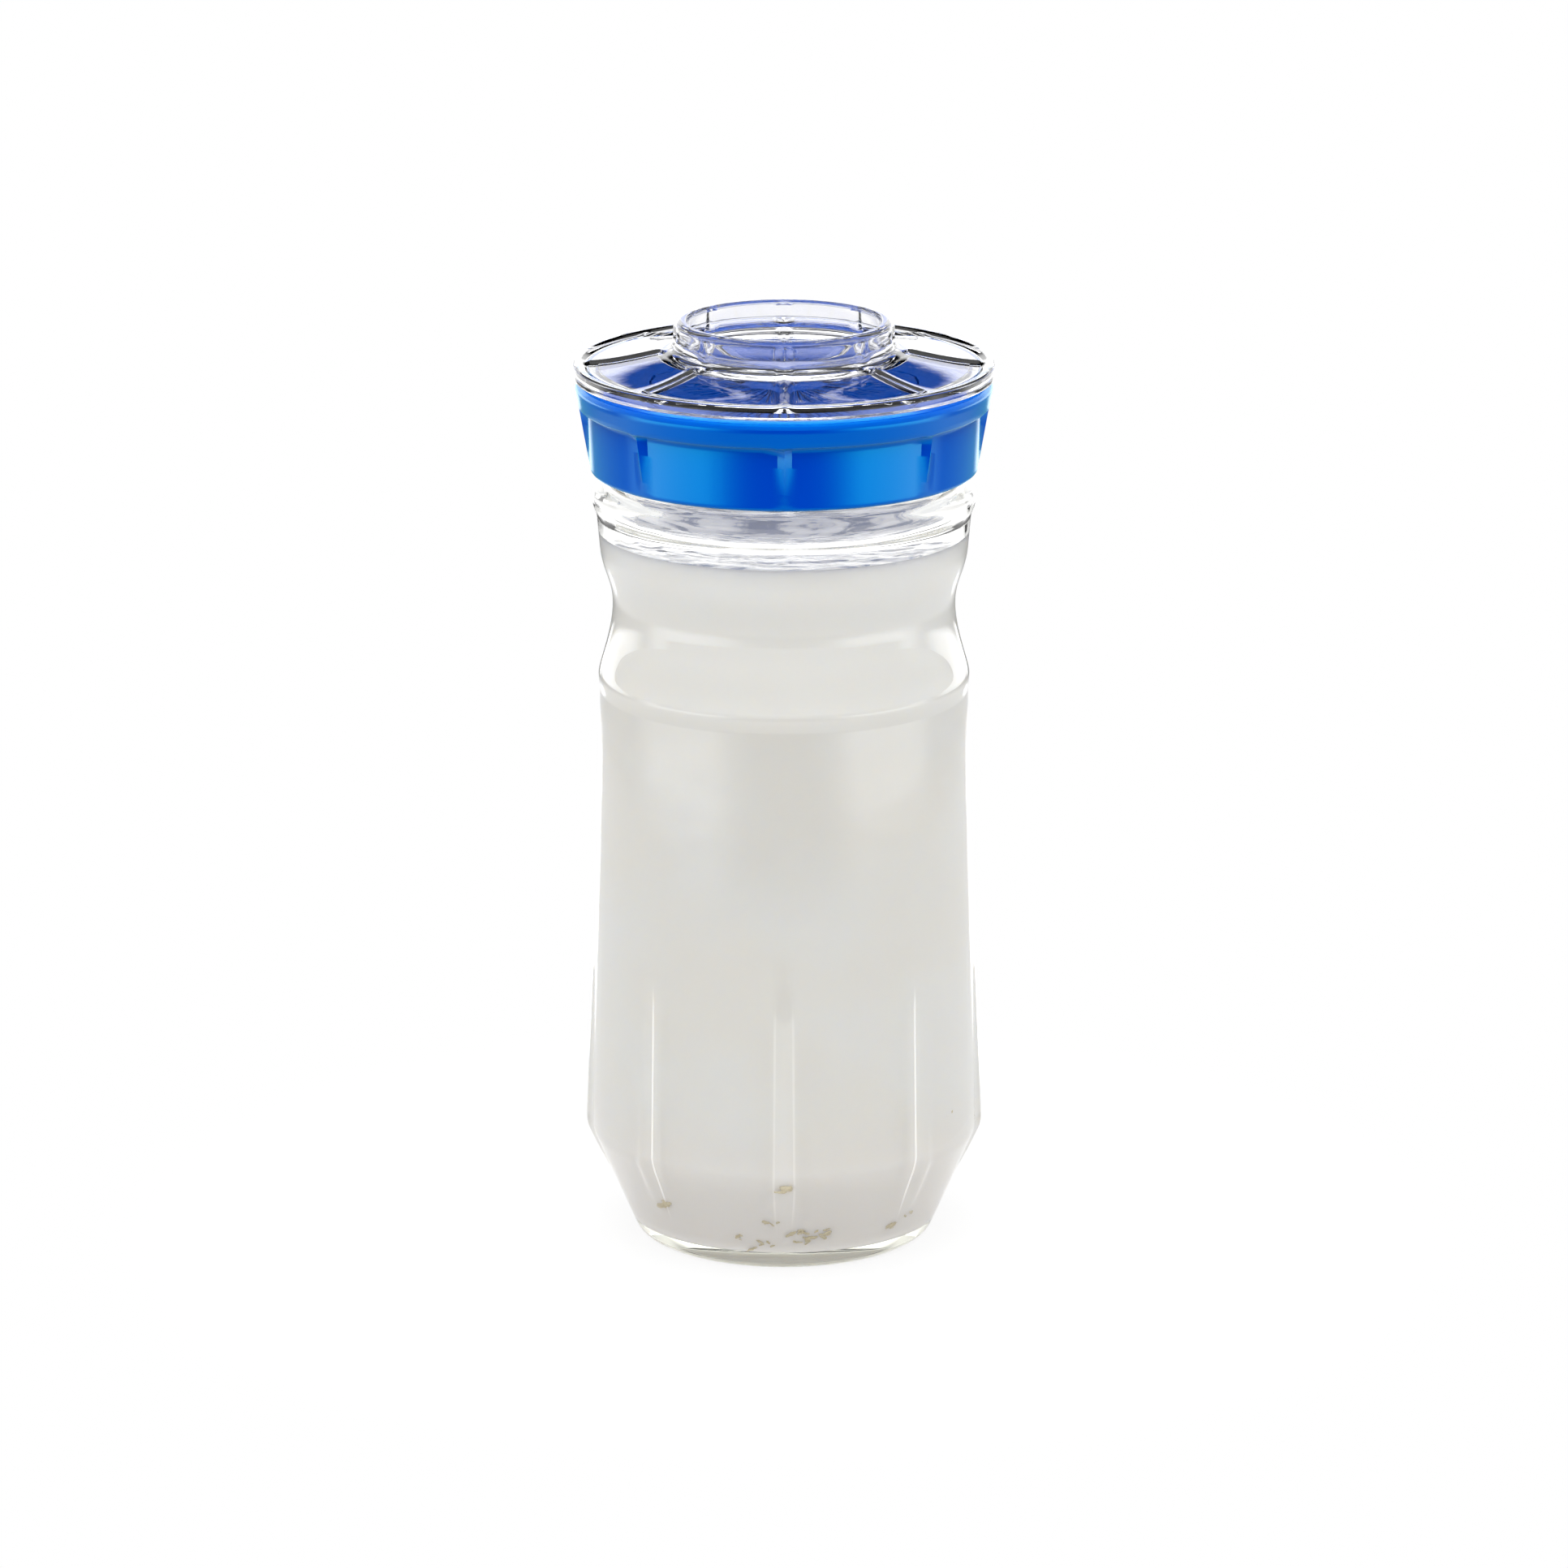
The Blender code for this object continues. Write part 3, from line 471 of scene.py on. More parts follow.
def make_lid_base():
    """The moulded lid: panels between gussets that spread into the brim, the thread and the mouth."""
    panel_top = (SKIRT_RADIUS + PANEL_FLARE, UNDERCUT_LOW)
    panel_low = (SKIRT_RADIUS, SKIRT_BOTTOM + SKIRT_ROUND)
    outside = arc((SKIRT_RADIUS - SKIRT_ROUND, SKIRT_BOTTOM + SKIRT_ROUND), SKIRT_ROUND, -90, 0, 5)[:-1]
    outside += line(panel_low, panel_top, 26)[:-1]
    band_low = (flare(BAND_LOW), BAND_LOW)
    outside += curve(panel_top, (45.95, -2.0), (46.5, -1.85), (47.0, -1.8), 8)[:-1]
    outside += curve((47.0, -1.8), (47.5, -1.75), (band_low[0] - 0.15, BAND_LOW - 0.4), band_low, 6)[:-1]
    outside += line(band_low, (BRIM_RADIUS, BRIM_LOW), 4)[:-1]
    outside += arc((BRIM_RADIUS - BRIM_ROUND, BRIM_LOW), BRIM_ROUND, 0, 90, 8)
    deck = outline([
        (RECESS_RADIUS + 0.8, BRIM_TOP, 0),
        (RECESS_RADIUS, BRIM_TOP, 0.2),
        (RECESS_RADIUS, RECESS_LEVEL, 0.2),
        (LAND_RADIUS, RECESS_LEVEL, 0.3),
        (LAND_RADIUS, LAND_LEVEL, 0.4),
        (STRAINER_SEAT, LAND_LEVEL - 0.5, 0.2),
        (STRAINER_SEAT, 0.0, 0.15),
        (LID_MOUTH, 0.0, 0.25),
        (LID_MOUTH, DECK_UNDER, 0.3),
        (SEAL_SEAT, DECK_UNDER, 0.3),
        (SEAL_SEAT, 0.0, 0.15),
        (SKIRT_BORE, 0.0, 0.4),
        (SKIRT_BORE, -1.5, 0),
    ])
    bore = line((SKIRT_BORE, -1.5), (SKIRT_BORE, SKIRT_BOTTOM + 0.6), 46)[1:]
    close = [(SKIRT_BORE + 0.6, SKIRT_BOTTOM), outside[0]]
    lid = lathe("moulded_lid_base", lifted(outside + deck + bore + close, DECK), ribbed=True)

    def gussets(point):
        z = point.z - DECK
        radius = from_axis(point)
        if not SKIRT_BOTTOM + SKIRT_ROUND < z < BAND_LOW or radius < SKIRT_RADIUS - 0.01:
            return 0.0
        share = (z - SKIRT_BOTTOM) / (BAND_LOW - SKIRT_BOTTOM)
        width = GUSSET_STEM * (0.3 + 0.7 * smooth(0, 0.6, share))
        width += (GUSSET_SPREAD - GUSSET_STEM) * share**14
        across = 1 - smooth(0.5 * width - 0.45, 0.5 * width + 0.35, abs(beside_rib(point)))
        return across * max(0.0, flare(z) - radius)

    def lid_thread(point, normal):
        radius = from_axis(point)
        on_bore = abs(radius - SKIRT_BORE) < 0.05 and point.z < DECK - 1.4
        return thread(point, LID_THREAD_START) if on_bore else 0.0

    swell(lid, gussets)
    displace(lid, "thread", lid_thread)
    # The second material, of the satin finish and painted shade, is the deck's
    for face in lid.data.polygons:
        middle = face.center / MM
        face.material_index = int(from_axis(middle) < 45.8 and middle.z > DECK - 1.7)
    return lid


def make_strainer():
    """The strainer: a disc with a domed hub, cut by a ring of fine radial slots."""
    section = curve((0.0, HUB_TOP), (5.0, HUB_TOP), (7.2, 2.0), (8.5, STRAINER_THICKNESS), 8)
    section += outline([
        (9.5, STRAINER_THICKNESS, 0),
        (STRAINER_RADIUS, STRAINER_THICKNESS, 0.2),
        (STRAINER_RADIUS, 0.0, 0.2),
        (STRAINER_RADIUS - 2.0, 0.0, 0),
        (0.0, 0.0, 0),
    ])
    strainer = lathe("slotted_strainer", lifted(section, STRAINER_BOTTOM))
    knives = add_primitive("cube", "knives", size=1.0)
    knives.scale = (SLOT_LENGTH * MM, SLOT_WIDTH * MM, 6 * MM)
    knives.location = (SLOT_PLACE * MM, 0, STRAINER_BOTTOM * MM)
    bpy.ops.object.transform_apply(location=True, rotation=True, scale=True)
    bpy.ops.object.mode_set(mode="EDIT")
    bpy.ops.mesh.select_all(action="SELECT")
    bpy.ops.transform.rotate(
        value=math.pi / SLOT_COUNT, orient_axis="Z", center_override=(0.0, 0.0, 0.0)
    )
    bpy.ops.mesh.spin(
        steps=SLOT_COUNT - 1,
        dupli=True,
        angle=math.tau * (SLOT_COUNT - 1) / SLOT_COUNT,
        center=(0, 0, 0),
        axis=(0, 0, 1),
    )
    bpy.ops.object.mode_set(mode="OBJECT")
    cut = strainer.modifiers.new("slots", "BOOLEAN")
    cut.operation = "DIFFERENCE"
    cut.object = knives
    soften = strainer.modifiers.new("edges", "BEVEL")
    soften.width = 0.08 * MM
    soften.segments = 2
    soften.limit_method = "ANGLE"
    soften.angle_limit = math.radians(50)
    apply_modifiers(strainer)
    bpy.data.objects.remove(knives)
    return strainer


def make_seal(name, radii, low, high):
    """A silicone ring with rounded edges, from its bore to its outer radius."""
    bore, radius = radii
    middle = (bore + radius) / 2
    section = outline([
        (middle, high, 0),
        (radius, high, SEAL_ROUND),
        (radius, low, SEAL_ROUND),
        (bore, low, SEAL_ROUND),
        (bore, high, SEAL_ROUND),
        (middle, high, 0),
    ])
    return lathe(name, section)


def make_cover():
    """The clear cover: rim, ridged deck, ribbed collar and the cup whose underside is the reamer."""
    cup_radius = COLLAR_RADIUS - COLLAR_WALL
    cup_edge = (cup_radius, DECK_HIGH)
    cup = curve((0.0, CUP_FLOOR), (0.5 * cup_radius, CUP_FLOOR), (0.75 * cup_radius, 1.88), cup_edge, 22)
    reamer = [(0.0, REAMER_LOW)]
    reamer += [p for p in offset(cup, REAMER_LOW - CUP_FLOOR)[1:] if p[1] < DECK_HIGH - COVER_WALL]
    deck_edge = (COVER_RADIUS - RIM_WIDTH, DECK_LOW)
    deck_start = (COLLAR_RADIUS + COLLAR_FILLET, DECK_HIGH)
    deck = curve(deck_start, (33.6, 4.44), (39.7, 2.99), deck_edge, 26)
    collar = line(cup[-1], (cup_radius, COLLAR_TOP - CUP_ROUND), 14)[1:-1]
    collar += arc((cup_radius + CUP_ROUND, COLLAR_TOP - CUP_ROUND), CUP_ROUND, 180, 90, 4)
    shoulder = COLLAR_TOP - COLLAR_ROUND
    collar += arc((COLLAR_RADIUS - COLLAR_ROUND, shoulder), COLLAR_ROUND, 90, 0, 9)
    collar += line((COLLAR_RADIUS, shoulder), (COLLAR_RADIUS, DECK_HIGH + COLLAR_FILLET), 6)[1:-1]
    collar += arc((deck_start[0], DECK_HIGH + COLLAR_FILLET), COLLAR_FILLET, 180, 270, 10)
    rim = curve(deck_edge, (46.3, 2.75), (47.0, RIM_HEIGHT), (47.9, RIM_HEIGHT), 6)[1:]
    rim += arc((COVER_RADIUS - RIM_ROUND_TOP, RIM_HEIGHT - RIM_ROUND_TOP), RIM_ROUND_TOP, 90, 0, 6)
    rim += line((COVER_RADIUS, RIM_HEIGHT - RIM_ROUND_TOP), (COVER_RADIUS, RIM_ROUND_LOW), 3)[1:-1]
    rim += arc((COVER_RADIUS - RIM_ROUND_LOW, RIM_ROUND_LOW), RIM_ROUND_LOW, 0, -90, 3)
    rim += [(COVER_RADIUS - 2.5, 0.0), (COVER_RADIUS - RIM_LAND, 0.0)]
    under = [(r, z - COVER_WALL) for r, z in deck[::-1] if r < COVER_RADIUS - RIM_LAND]
    section = cup + collar + deck[1:] + rim + under + reamer[::-1]
    cover = lathe("clear_cover", lifted(section, COVER), ribbed=True)

    def ridges(point, normal):
        radius = from_axis(point)
        if normal.z < 0.3 or not COLLAR_RADIUS < radius < COVER_RADIUS - 1.2:
            return 0.0
        along = smooth(COLLAR_RADIUS + 1, COLLAR_RADIUS + 5, radius) * smooth(RIDGE_END, RIDGE_FADE, radius)
        return RIDGE_HEIGHT * along * max(0.0, 1 - abs(beside_rib(point)) / RIDGE_REACH) ** 1.9

    def collar_ribs(point, normal):
        radius = from_axis(point)
        z = point.z - COVER
        if not COLLAR_RADIUS - 0.02 < radius < COLLAR_RADIUS + 1.5 or z < DECK_HIGH + 0.6:
            return 0.0
        foot = smooth(DECK_HIGH + 0.6, DECK_HIGH + 2.6, z)
        head = smooth(COLLAR_TOP - 0.8, COLLAR_TOP - 1.4, z)
        return COLLAR_RIB_HEIGHT * foot * head * plateau(beside_rib(point), COLLAR_RIB_WIDTH, 0.35)

    def flutes(point, normal):
        radius = from_axis(point)
        below = normal.z < -0.1 and point.z - COVER < 3.5
        if not below or not FLUTES_INNER < radius < FLUTES_OUTER:
            return 0.0
        across = max(0.0, 1 - abs(beside_rib(point)) / FLUTE_REACH) ** 1.5
        return FLUTE_DEPTH * smooth(FLUTES_INNER, FLUTES_INNER + 5.0, radius) * across

    displace(cover, "ridges", ridges, "Z")
    displace(cover, "collar_ribs", collar_ribs)
    displace(cover, "flutes", flutes)
    return cover


def paint(hex_colour):
    """A colour of #RRGGBB as linear light, with full alpha."""
    shares = [int(hex_colour[i : i + 2], 16) / 255 for i in (1, 3, 5)]
    return tuple(c / 12.92 if c <= 0.04045 else ((c + 0.055) / 1.055) ** 2.4 for c in shares) + (1.0,)


# Nodes that calculate, with their settings
MATH, RANGE, SPLIT = "ShaderNodeMath", "ShaderNodeMapRange", "ShaderNodeSeparateXYZ"
PLUS, MINUS, TIMES, DIVIDED = [{"operation": word} for word in ("ADD", "SUBTRACT", "MULTIPLY", "DIVIDE")]
LARGER, SIZE = {"operation": "MAXIMUM"}, {"operation": "ABSOLUTE"}
SOFTLY = {"interpolation_type": "SMOOTHSTEP"}


def add_node(tree, kind, settings, inputs):
    """A node with its settings, and its inputs given as values or as the outputs that feed them."""
    node = tree.nodes.new(kind)
    for name, value in settings.items():
        setattr(node, name, value)
    for name, value in inputs.items():
        if isinstance(value, bpy.types.NodeSocket):
            tree.links.new(value, node.inputs[name])
        else:
            node.inputs[name].default_value = value
    return node


def result(tree, kind, settings, *inputs):
    """The first output of a node whose inputs are given in their order."""
    return add_node(tree, kind, settings, dict(enumerate(inputs))).outputs[0]


def new_material(name, sockets):
    """A material whose Principled BSDF has these values, with the place that its patterns read."""
    material = bpy.data.materials.new(name)
    material.use_nodes = True
    tree = material.node_tree
    shader = tree.nodes["Principled BSDF"]
    for socket, value in sockets.items():
        shader.inputs[socket].default_value = value
    place = add_node(tree, "ShaderNodeTexCoord", {}, {}).outputs["Object"]
    return material, tree, shader, place


def pressed_soda_lime_glass():
    """Colourless glass pressed in a mould: clear, with slow waves that bend what is seen through it."""
    material, tree, shader, place = new_material("pressed_soda_lime_glass", {
        "Base Color": paint("#FFFFFF"),
        "Roughness": 0.0,
        "IOR": 1.52,
        "Transmission Weight": 1.0,
    })
    # The waves of pressed glass are about 14 mm long
    waves = add_node(tree, "ShaderNodeTexNoise", {}, {
        "Vector": place, "Scale": 1 / (14 * MM), "Detail": 1.0,
    })
    bump = add_node(tree, "ShaderNodeBump", {}, {
        "Strength": 1.0, "Distance": 0.12 * MM, "Height": waves.outputs["Fac"],
    })
    tree.links.new(bump.outputs["Normal"], shader.inputs["Normal"])
    # Iron in the batch tints the glass olive where the eye looks through a long stretch of it
    tint = add_node(tree, "ShaderNodeVolumeAbsorption", {}, {"Color": paint("#F7F9DA"), "Density": 7.0})
    tree.links.new(tint.outputs["Volume"], tree.nodes["Material Output"].inputs["Volume"])
    return material


def injection_moulded_clear_plastic():
    """Styrene-acrylonitrile from a polished mould: water clear, with faint flow waves."""
    material, tree, shader, place = new_material("injection_moulded_clear_plastic", {
        "Base Color": paint("#FDFDFF"),
        "Roughness": 0.0,
        "IOR": 1.53,
        "Transmission Weight": 1.0,
    })
    # The flow waves are about 6 mm long
    waves = add_node(tree, "ShaderNodeTexNoise", {}, {
        "Vector": place, "Scale": 1 / (6 * MM), "Detail": 2.0,
    })
    bump = add_node(tree, "ShaderNodeBump", {}, {
        "Strength": 1.0, "Distance": 0.03 * MM, "Height": waves.outputs["Fac"],
    })
    tree.links.new(bump.outputs["Normal"], shader.inputs["Normal"])
    return material


def satin_blue_polypropylene_painted_shade():
    """The lid's blue where the tool is blasted, darker as painted shade under the cover: the deck and the
    strainer are satin and mirror little.
    """
    material, tree, shader, place = new_material("satin_blue_polypropylene_painted_shade", {
        "Roughness": 0.5,
        "IOR": 1.49,
        "Specular IOR Level": 0.12,
        "Specular Tint": paint("#10F6FF"),
    })
    # Grains of the blasted face, drawn 0.4 mm across
    grain = add_node(tree, "ShaderNodeTexNoise", {}, {
        "Vector": place, "Scale": 1 / (0.4 * MM), "Detail": 2.0,
    })
    # Darker than the lid's outer blue: painted shade of the deck and strainer under the cover, varied by
    # the grain
    tone = add_node(tree, "ShaderNodeMix", {"data_type": "RGBA"}, {
        "Factor": grain.outputs["Fac"], "A": paint("#0040A8"), "B": paint("#0050B8"),
    })
    tree.links.new(tone.outputs["Result"], shader.inputs["Base Color"])
    bump = add_node(tree, "ShaderNodeBump", {}, {
        "Strength": 0.2, "Distance": 0.02 * MM, "Height": grain.outputs["Fac"],
    })
    tree.links.new(bump.outputs["Normal"], shader.inputs["Normal"])
    return material


def moulded_blue_polypropylene():
    """Azure polypropylene, moulded semi-gloss: deep blue in itself, and azure where it mirrors light.

    The pigment lies right under the surface, so the gloss comes back tinted. An orange peel softens it.
    """
    material, tree, shader, place = new_material("moulded_blue_polypropylene", {
        "Roughness": 0.12,
        "IOR": 1.49,
        "Specular IOR Level": 1.0,
        "Specular Tint": paint("#10F6FF"),
        "Sheen Weight": 0.7,
        "Sheen Roughness": 0.45,
        "Sheen Tint": paint("#10DCFF"),
    })
    clouds = add_node(tree, "ShaderNodeTexNoise", {}, {
        "Vector": place, "Scale": 1 / (20 * MM), "Detail": 2.0,
    })
    tone = add_node(tree, "ShaderNodeMix", {"data_type": "RGBA"}, {
        "Factor": clouds.outputs["Fac"], "A": paint("#0046D4"), "B": paint("#004ADC"),
    })
    tree.links.new(tone.outputs["Result"], shader.inputs["Base Color"])
    # The orange peel's dimples are about 0.8 mm across
    peel = add_node(tree, "ShaderNodeTexNoise", {}, {
        "Vector": place, "Scale": 1 / (0.8 * MM), "Detail": 1.0,
    })
    bump = add_node(tree, "ShaderNodeBump", {}, {
        "Strength": 0.25, "Distance": 0.02 * MM, "Height": peel.outputs["Fac"],
    })
    tree.links.new(bump.outputs["Normal"], shader.inputs["Normal"])
    return material


def moulded_silicone():
    """Translucent white silicone rubber: satin, slightly cloudy."""
    material, tree, shader, place = new_material("moulded_silicone", {
        "Roughness": 0.45,
        "IOR": 1.41,
        "Subsurface Weight": 0.3,
        "Subsurface Radius": (1.0, 1.0, 1.0),
        "Subsurface Scale": 1.5 * MM,
    })
    cloud = add_node(tree, "ShaderNodeTexNoise", {}, {
        "Vector": place, "Scale": 1 / (4 * MM), "Detail": 2.0,
    })
    tone = add_node(tree, "ShaderNodeMix", {"data_type": "RGBA"}, {
        "Factor": cloud.outputs["Fac"], "A": paint("#DCDEDC"), "B": paint("#ECEEEC"),
    })
    tree.links.new(tone.outputs["Result"], shader.inputs["Base Color"])
    return material


def painted_rib_caustics(tree, place):
    """Painted caustics: emission lines for the light that ribs gather, one behind each at the sides and two
    faint ones in front, with the neck's painted glow.
    """
    parts = add_node(tree, SPLIT, {}, {"Vector": place})
    height = parts.outputs["Z"]
    azimuth = result(tree, MATH, {"operation": "ARCTAN2"}, parts.outputs["Y"], parts.outputs["X"])
    turn = result(tree, MATH, {"operation": "PINGPONG"}, azimuth, math.radians(EIGHTH / 2))
    beside = result(tree, MATH, TIMES, turn, MILK_RADIUS)
    sideways = result(tree, MATH, SIZE, result(tree, MATH, {"operation": "COSINE"}, azimuth))
    at_side = result(tree, RANGE, SOFTLY, sideways, 0.3, 0.6)
    side_strength = result(tree, MATH, TIMES, at_side, PAINTED_SIDE_CAUSTIC)
    front_strength = result(tree, RANGE, {}, at_side, 0.0, 1.0, PAINTED_FRONT_CAUSTIC, 0.0)
    middle = result(tree, MATH, TIMES, result(tree, RANGE, SOFTLY, beside, 0.34, 0.1), side_strength)
    from_edge = result(tree, MATH, SIZE, result(tree, MATH, MINUS, beside, PAINTED_FRONT_CAUSTIC_PLACE))
    edges = result(tree, MATH, TIMES, result(tree, RANGE, SOFTLY, from_edge, 0.45, 0.1), front_strength)
    foot = result(tree, RANGE, SOFTLY, height, 9 * MM, 20 * MM)
    ends = result(tree, MATH, TIMES, foot, result(tree, RANGE, SOFTLY, height, 70 * MM, 60 * MM))
    lines = result(tree, MATH, TIMES, result(tree, MATH, PLUS, middle, edges), ends)
    # Painted glow of the neck, rising from 138 to 154 mm
    neck = result(tree, RANGE, SOFTLY, height, 138 * MM, 154 * MM, 0.0, PAINTED_NECK_GLOW)
    return result(tree, MATH, PLUS, lines, neck)


def fermented_milk(name, top=False):
    """Kefir: warm white and greyer towards the floor. On its top, pools of whey carry a painted grey-blue
    reflection of the lid.

    Painted light: thin bright caustic lines where the ribs gather the side light, which the soft room alone
    doesn't give, and a painted glow on the neck and the top, in place of the light that the milk spreads
    from its lit sides to its shaded top.
    """
    material, tree, shader, place = new_material(name, {
        # The colour of the painted glow and of the painted caustic lines
        "Emission Color": paint("#FBFBFA"),
        "Roughness": 0.08,
        "IOR": 1.35,
        "Subsurface Weight": 1.0,
        "Subsurface Radius": (1.0, 0.95, 0.85),
        "Subsurface Scale": 4 * MM,
    })
    # Warmer and cooler patches, about 35 mm across
    patches = add_node(tree, "ShaderNodeTexNoise", {}, {
        "Vector": place, "Scale": 1 / (35 * MM), "Detail": 2.0,
    })
    warm = result(tree, RANGE, {}, patches.outputs["Fac"], 0.4, 0.6)
    body = add_node(tree, "ShaderNodeMix", {"data_type": "RGBA"}, {
        "Factor": warm, "A": paint("#F8F6F4"), "B": paint("#F7F4F0"),
    })
    height = add_node(tree, SPLIT, {}, {"Vector": place}).outputs["Z"]
    low = result(tree, RANGE, SOFTLY, height, 45 * MM, 4 * MM)
    tone = add_node(tree, "ShaderNodeMix", {"data_type": "RGBA"}, {
        "Factor": low, "A": body.outputs["Result"], "B": paint("#F4F0ED"),
    })
    if not top:
        tree.links.new(tone.outputs["Result"], shader.inputs["Base Color"])
        # Painted caustic lines and the neck's painted glow, as emission
        tree.links.new(painted_rib_caustics(tree, place), shader.inputs["Emission Strength"])
        return material
    # The pools of whey, painted grey-blue as a reflection of the lid, are about 11 mm across, with ragged
    # edges
    depth = add_node(tree, "ShaderNodeTexNoise", {}, {
        "Vector": place, "Scale": 1 / (11 * MM), "Detail": 5.0, "Roughness": 0.6, "Distortion": 1.2,
    })
    pools = result(tree, RANGE, SOFTLY, depth.outputs["Fac"], 0.44, 0.62)
    pooled_with_painted_reflection = add_node(tree, "ShaderNodeMix", {"data_type": "RGBA"}, {
        "Factor": pools, "A": tone.outputs["Result"], "B": paint("#A4AECB"),
    })
    tree.links.new(pooled_with_painted_reflection.outputs["Result"], shader.inputs["Base Color"])
    # Painted glow on the top, weaker on the pools
    glow = result(tree, RANGE, {}, pools, 0.0, 1.0, PAINTED_TOP_GLOW, PAINTED_POOL_GLOW)
    tree.links.new(glow, shader.inputs["Emission Strength"])
    return material


def kefir_curd():
    """Kefir grains: moist yellow-brown curd, darker in its folds."""
    material, tree, shader, place = new_material("kefir_curd", {
        "Roughness": 0.4,
        "IOR": 1.38,
        "Specular IOR Level": 0.2,
    })
    # The curd's folds are about 0.6 mm apart
    folds = add_node(tree, "ShaderNodeTexNoise", {}, {
        "Vector": place, "Scale": 1 / (0.6 * MM), "Detail": 2.0,
    })
    tone = add_node(tree, "ShaderNodeMix", {"data_type": "RGBA"}, {
        "Factor": folds.outputs["Fac"], "A": paint("#CDBE94"), "B": paint("#E8DFC8"),
    })
    tree.links.new(tone.outputs["Result"], shader.inputs["Base Color"])
    return material


def finish_piece(piece, body, materials, node=None):
    """Gives a piece its shading and materials, and says what it rides on and stands for."""
    shade(piece)
    for material in materials:
        piece.data.materials.append(material)
    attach(piece, body)
    if node:
        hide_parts(node)


# The studio: a white floor and backdrop, and a room that is bright or dark by direction
def only_mirrored(tree, path):
    """1 for rays that a surface mirrors, and not for those that glass lets through."""
    glossy, through = path.outputs["Is Glossy Ray"], path.outputs["Is Transmission Ray"]
    return result(tree, MATH, {"operation": "SUBTRACT", "use_clamp": True}, glossy, through)


def floor_light(tree, place, away):
    """How bright the floor is in a reflection, by distance and by facing: -1 is in front, 1 behind."""
    parts = add_node(tree, SPLIT, {}, {"Vector": place})
    facing = result(tree, MATH, DIVIDED, parts.outputs["Y"], away)
    outer = result(tree, RANGE, SOFTLY, facing, -0.2, 0.3, FLOOR_SIDES, FLOOR_BEHIND)
    far = result(tree, RANGE, SOFTLY, away, 0.44, 0.62)
    level = result(tree, RANGE, {}, far, 0.0, 1.0, FLOOR_NEAR, outer)
    # Dark straight in front from 0.34 m on, where the lid's front mirrors it
    in_front = result(tree, RANGE, SOFTLY, facing, -0.65, -0.99)
    shade = result(tree, MATH, TIMES, in_front, result(tree, RANGE, SOFTLY, away, 0.34, 0.5))
    level = result(tree, RANGE, {}, shade, 0.0, 1.0, level, 0.0)
    # As bright as the room where the two meet in front, so that no horizon shows in the glass
    before = result(tree, RANGE, SOFTLY, facing, 0.0, -0.2)
    horizon = result(tree, MATH, TIMES, result(tree, RANGE, SOFTLY, away, 0.85, 1.3), before)
    level = result(tree, RANGE, {}, horizon, 0.0, 1.0, level, MIRRORED_ROOM["front"])
    # White behind: all round far away, and straight behind both near the jar and at the lid's distance
    wide = result(tree, RANGE, SOFTLY, facing, 0.2, 0.5)
    wide = result(tree, MATH, TIMES, wide, result(tree, RANGE, SOFTLY, away, 0.8, 1.1))
    middle = result(tree, RANGE, SOFTLY, facing, 0.86, 0.95)
    middle = result(tree, MATH, TIMES, middle, result(tree, RANGE, SOFTLY, away, 0.7, 0.78))
    near = result(tree, RANGE, SOFTLY, facing, 0.84, 0.92)
    near = result(tree, MATH, TIMES, near, result(tree, RANGE, SOFTLY, away, 0.5, 0.42))
    backdrop = result(tree, MATH, LARGER, wide, result(tree, MATH, LARGER, middle, near))
    return result(tree, MATH, PLUS, level, result(tree, MATH, TIMES, backdrop, FLOOR_BACKDROP))


def make_floor():
    """The white sweep: it shows the jar's shadow near the jar and pure white beyond."""
    floor = add_primitive("plane", "studio_floor", size=8.0, location=(0, 0, -0.2 * MM))
    material = bpy.data.materials.new("white_studio_floor")
    material.use_nodes = True
    tree = material.node_tree
    tree.nodes.remove(tree.nodes["Principled BSDF"])
    path = add_node(tree, "ShaderNodeLightPath", {}, {})
    place = add_node(tree, "ShaderNodeTexCoord", {}, {}).outputs["Object"]
    away = add_node(tree, "ShaderNodeVectorMath", {"operation": "LENGTH"}, {0: place}).outputs["Value"]
    # The camera sees the shadow from the jar's foot out to 170 mm, and glass shows the floor pure white
    fade = result(tree, RANGE, SOFTLY, away, 40 * MM, 170 * MM, 0.82, 1.0)
    seen = result(tree, MATH, TIMES, path.outputs["Is Camera Ray"], fade)
    white = result(tree, MATH, LARGER, seen, path.outputs["Is Transmission Ray"])
    matt = result(tree, "ShaderNodeBsdfDiffuse", {}, paint("#FAFAFA"))
    glowing = result(tree, "ShaderNodeEmission", {})
    floor_seen = result(tree, "ShaderNodeMixShader", {}, white, matt, glowing)
    # Gloss mirrors the floor as it is lit, from 60 to 120 mm on
    lit = result(tree, "ShaderNodeEmission", {}, (1, 1, 1, 1), floor_light(tree, place, away))
    far = result(tree, RANGE, SOFTLY, away, 60 * MM, 120 * MM)
    mirrored = result(tree, MATH, TIMES, only_mirrored(tree, path), far)
    floor_mirrored = result(tree, "ShaderNodeMixShader", {}, mirrored, floor_seen, lit)
    # Soft light gets little from the floor, as over dark cloth, so that undersides stay dark
    cloth = result(tree, "ShaderNodeBsdfDiffuse", {}, paint("#6A6A6A"))
    surface = result(tree, "ShaderNodeMixShader", {}, path.outputs["Is Diffuse Ray"], floor_mirrored, cloth)
    tree.links.new(surface, tree.nodes["Material Output"].inputs["Surface"])
    floor.data.materials.append(material)


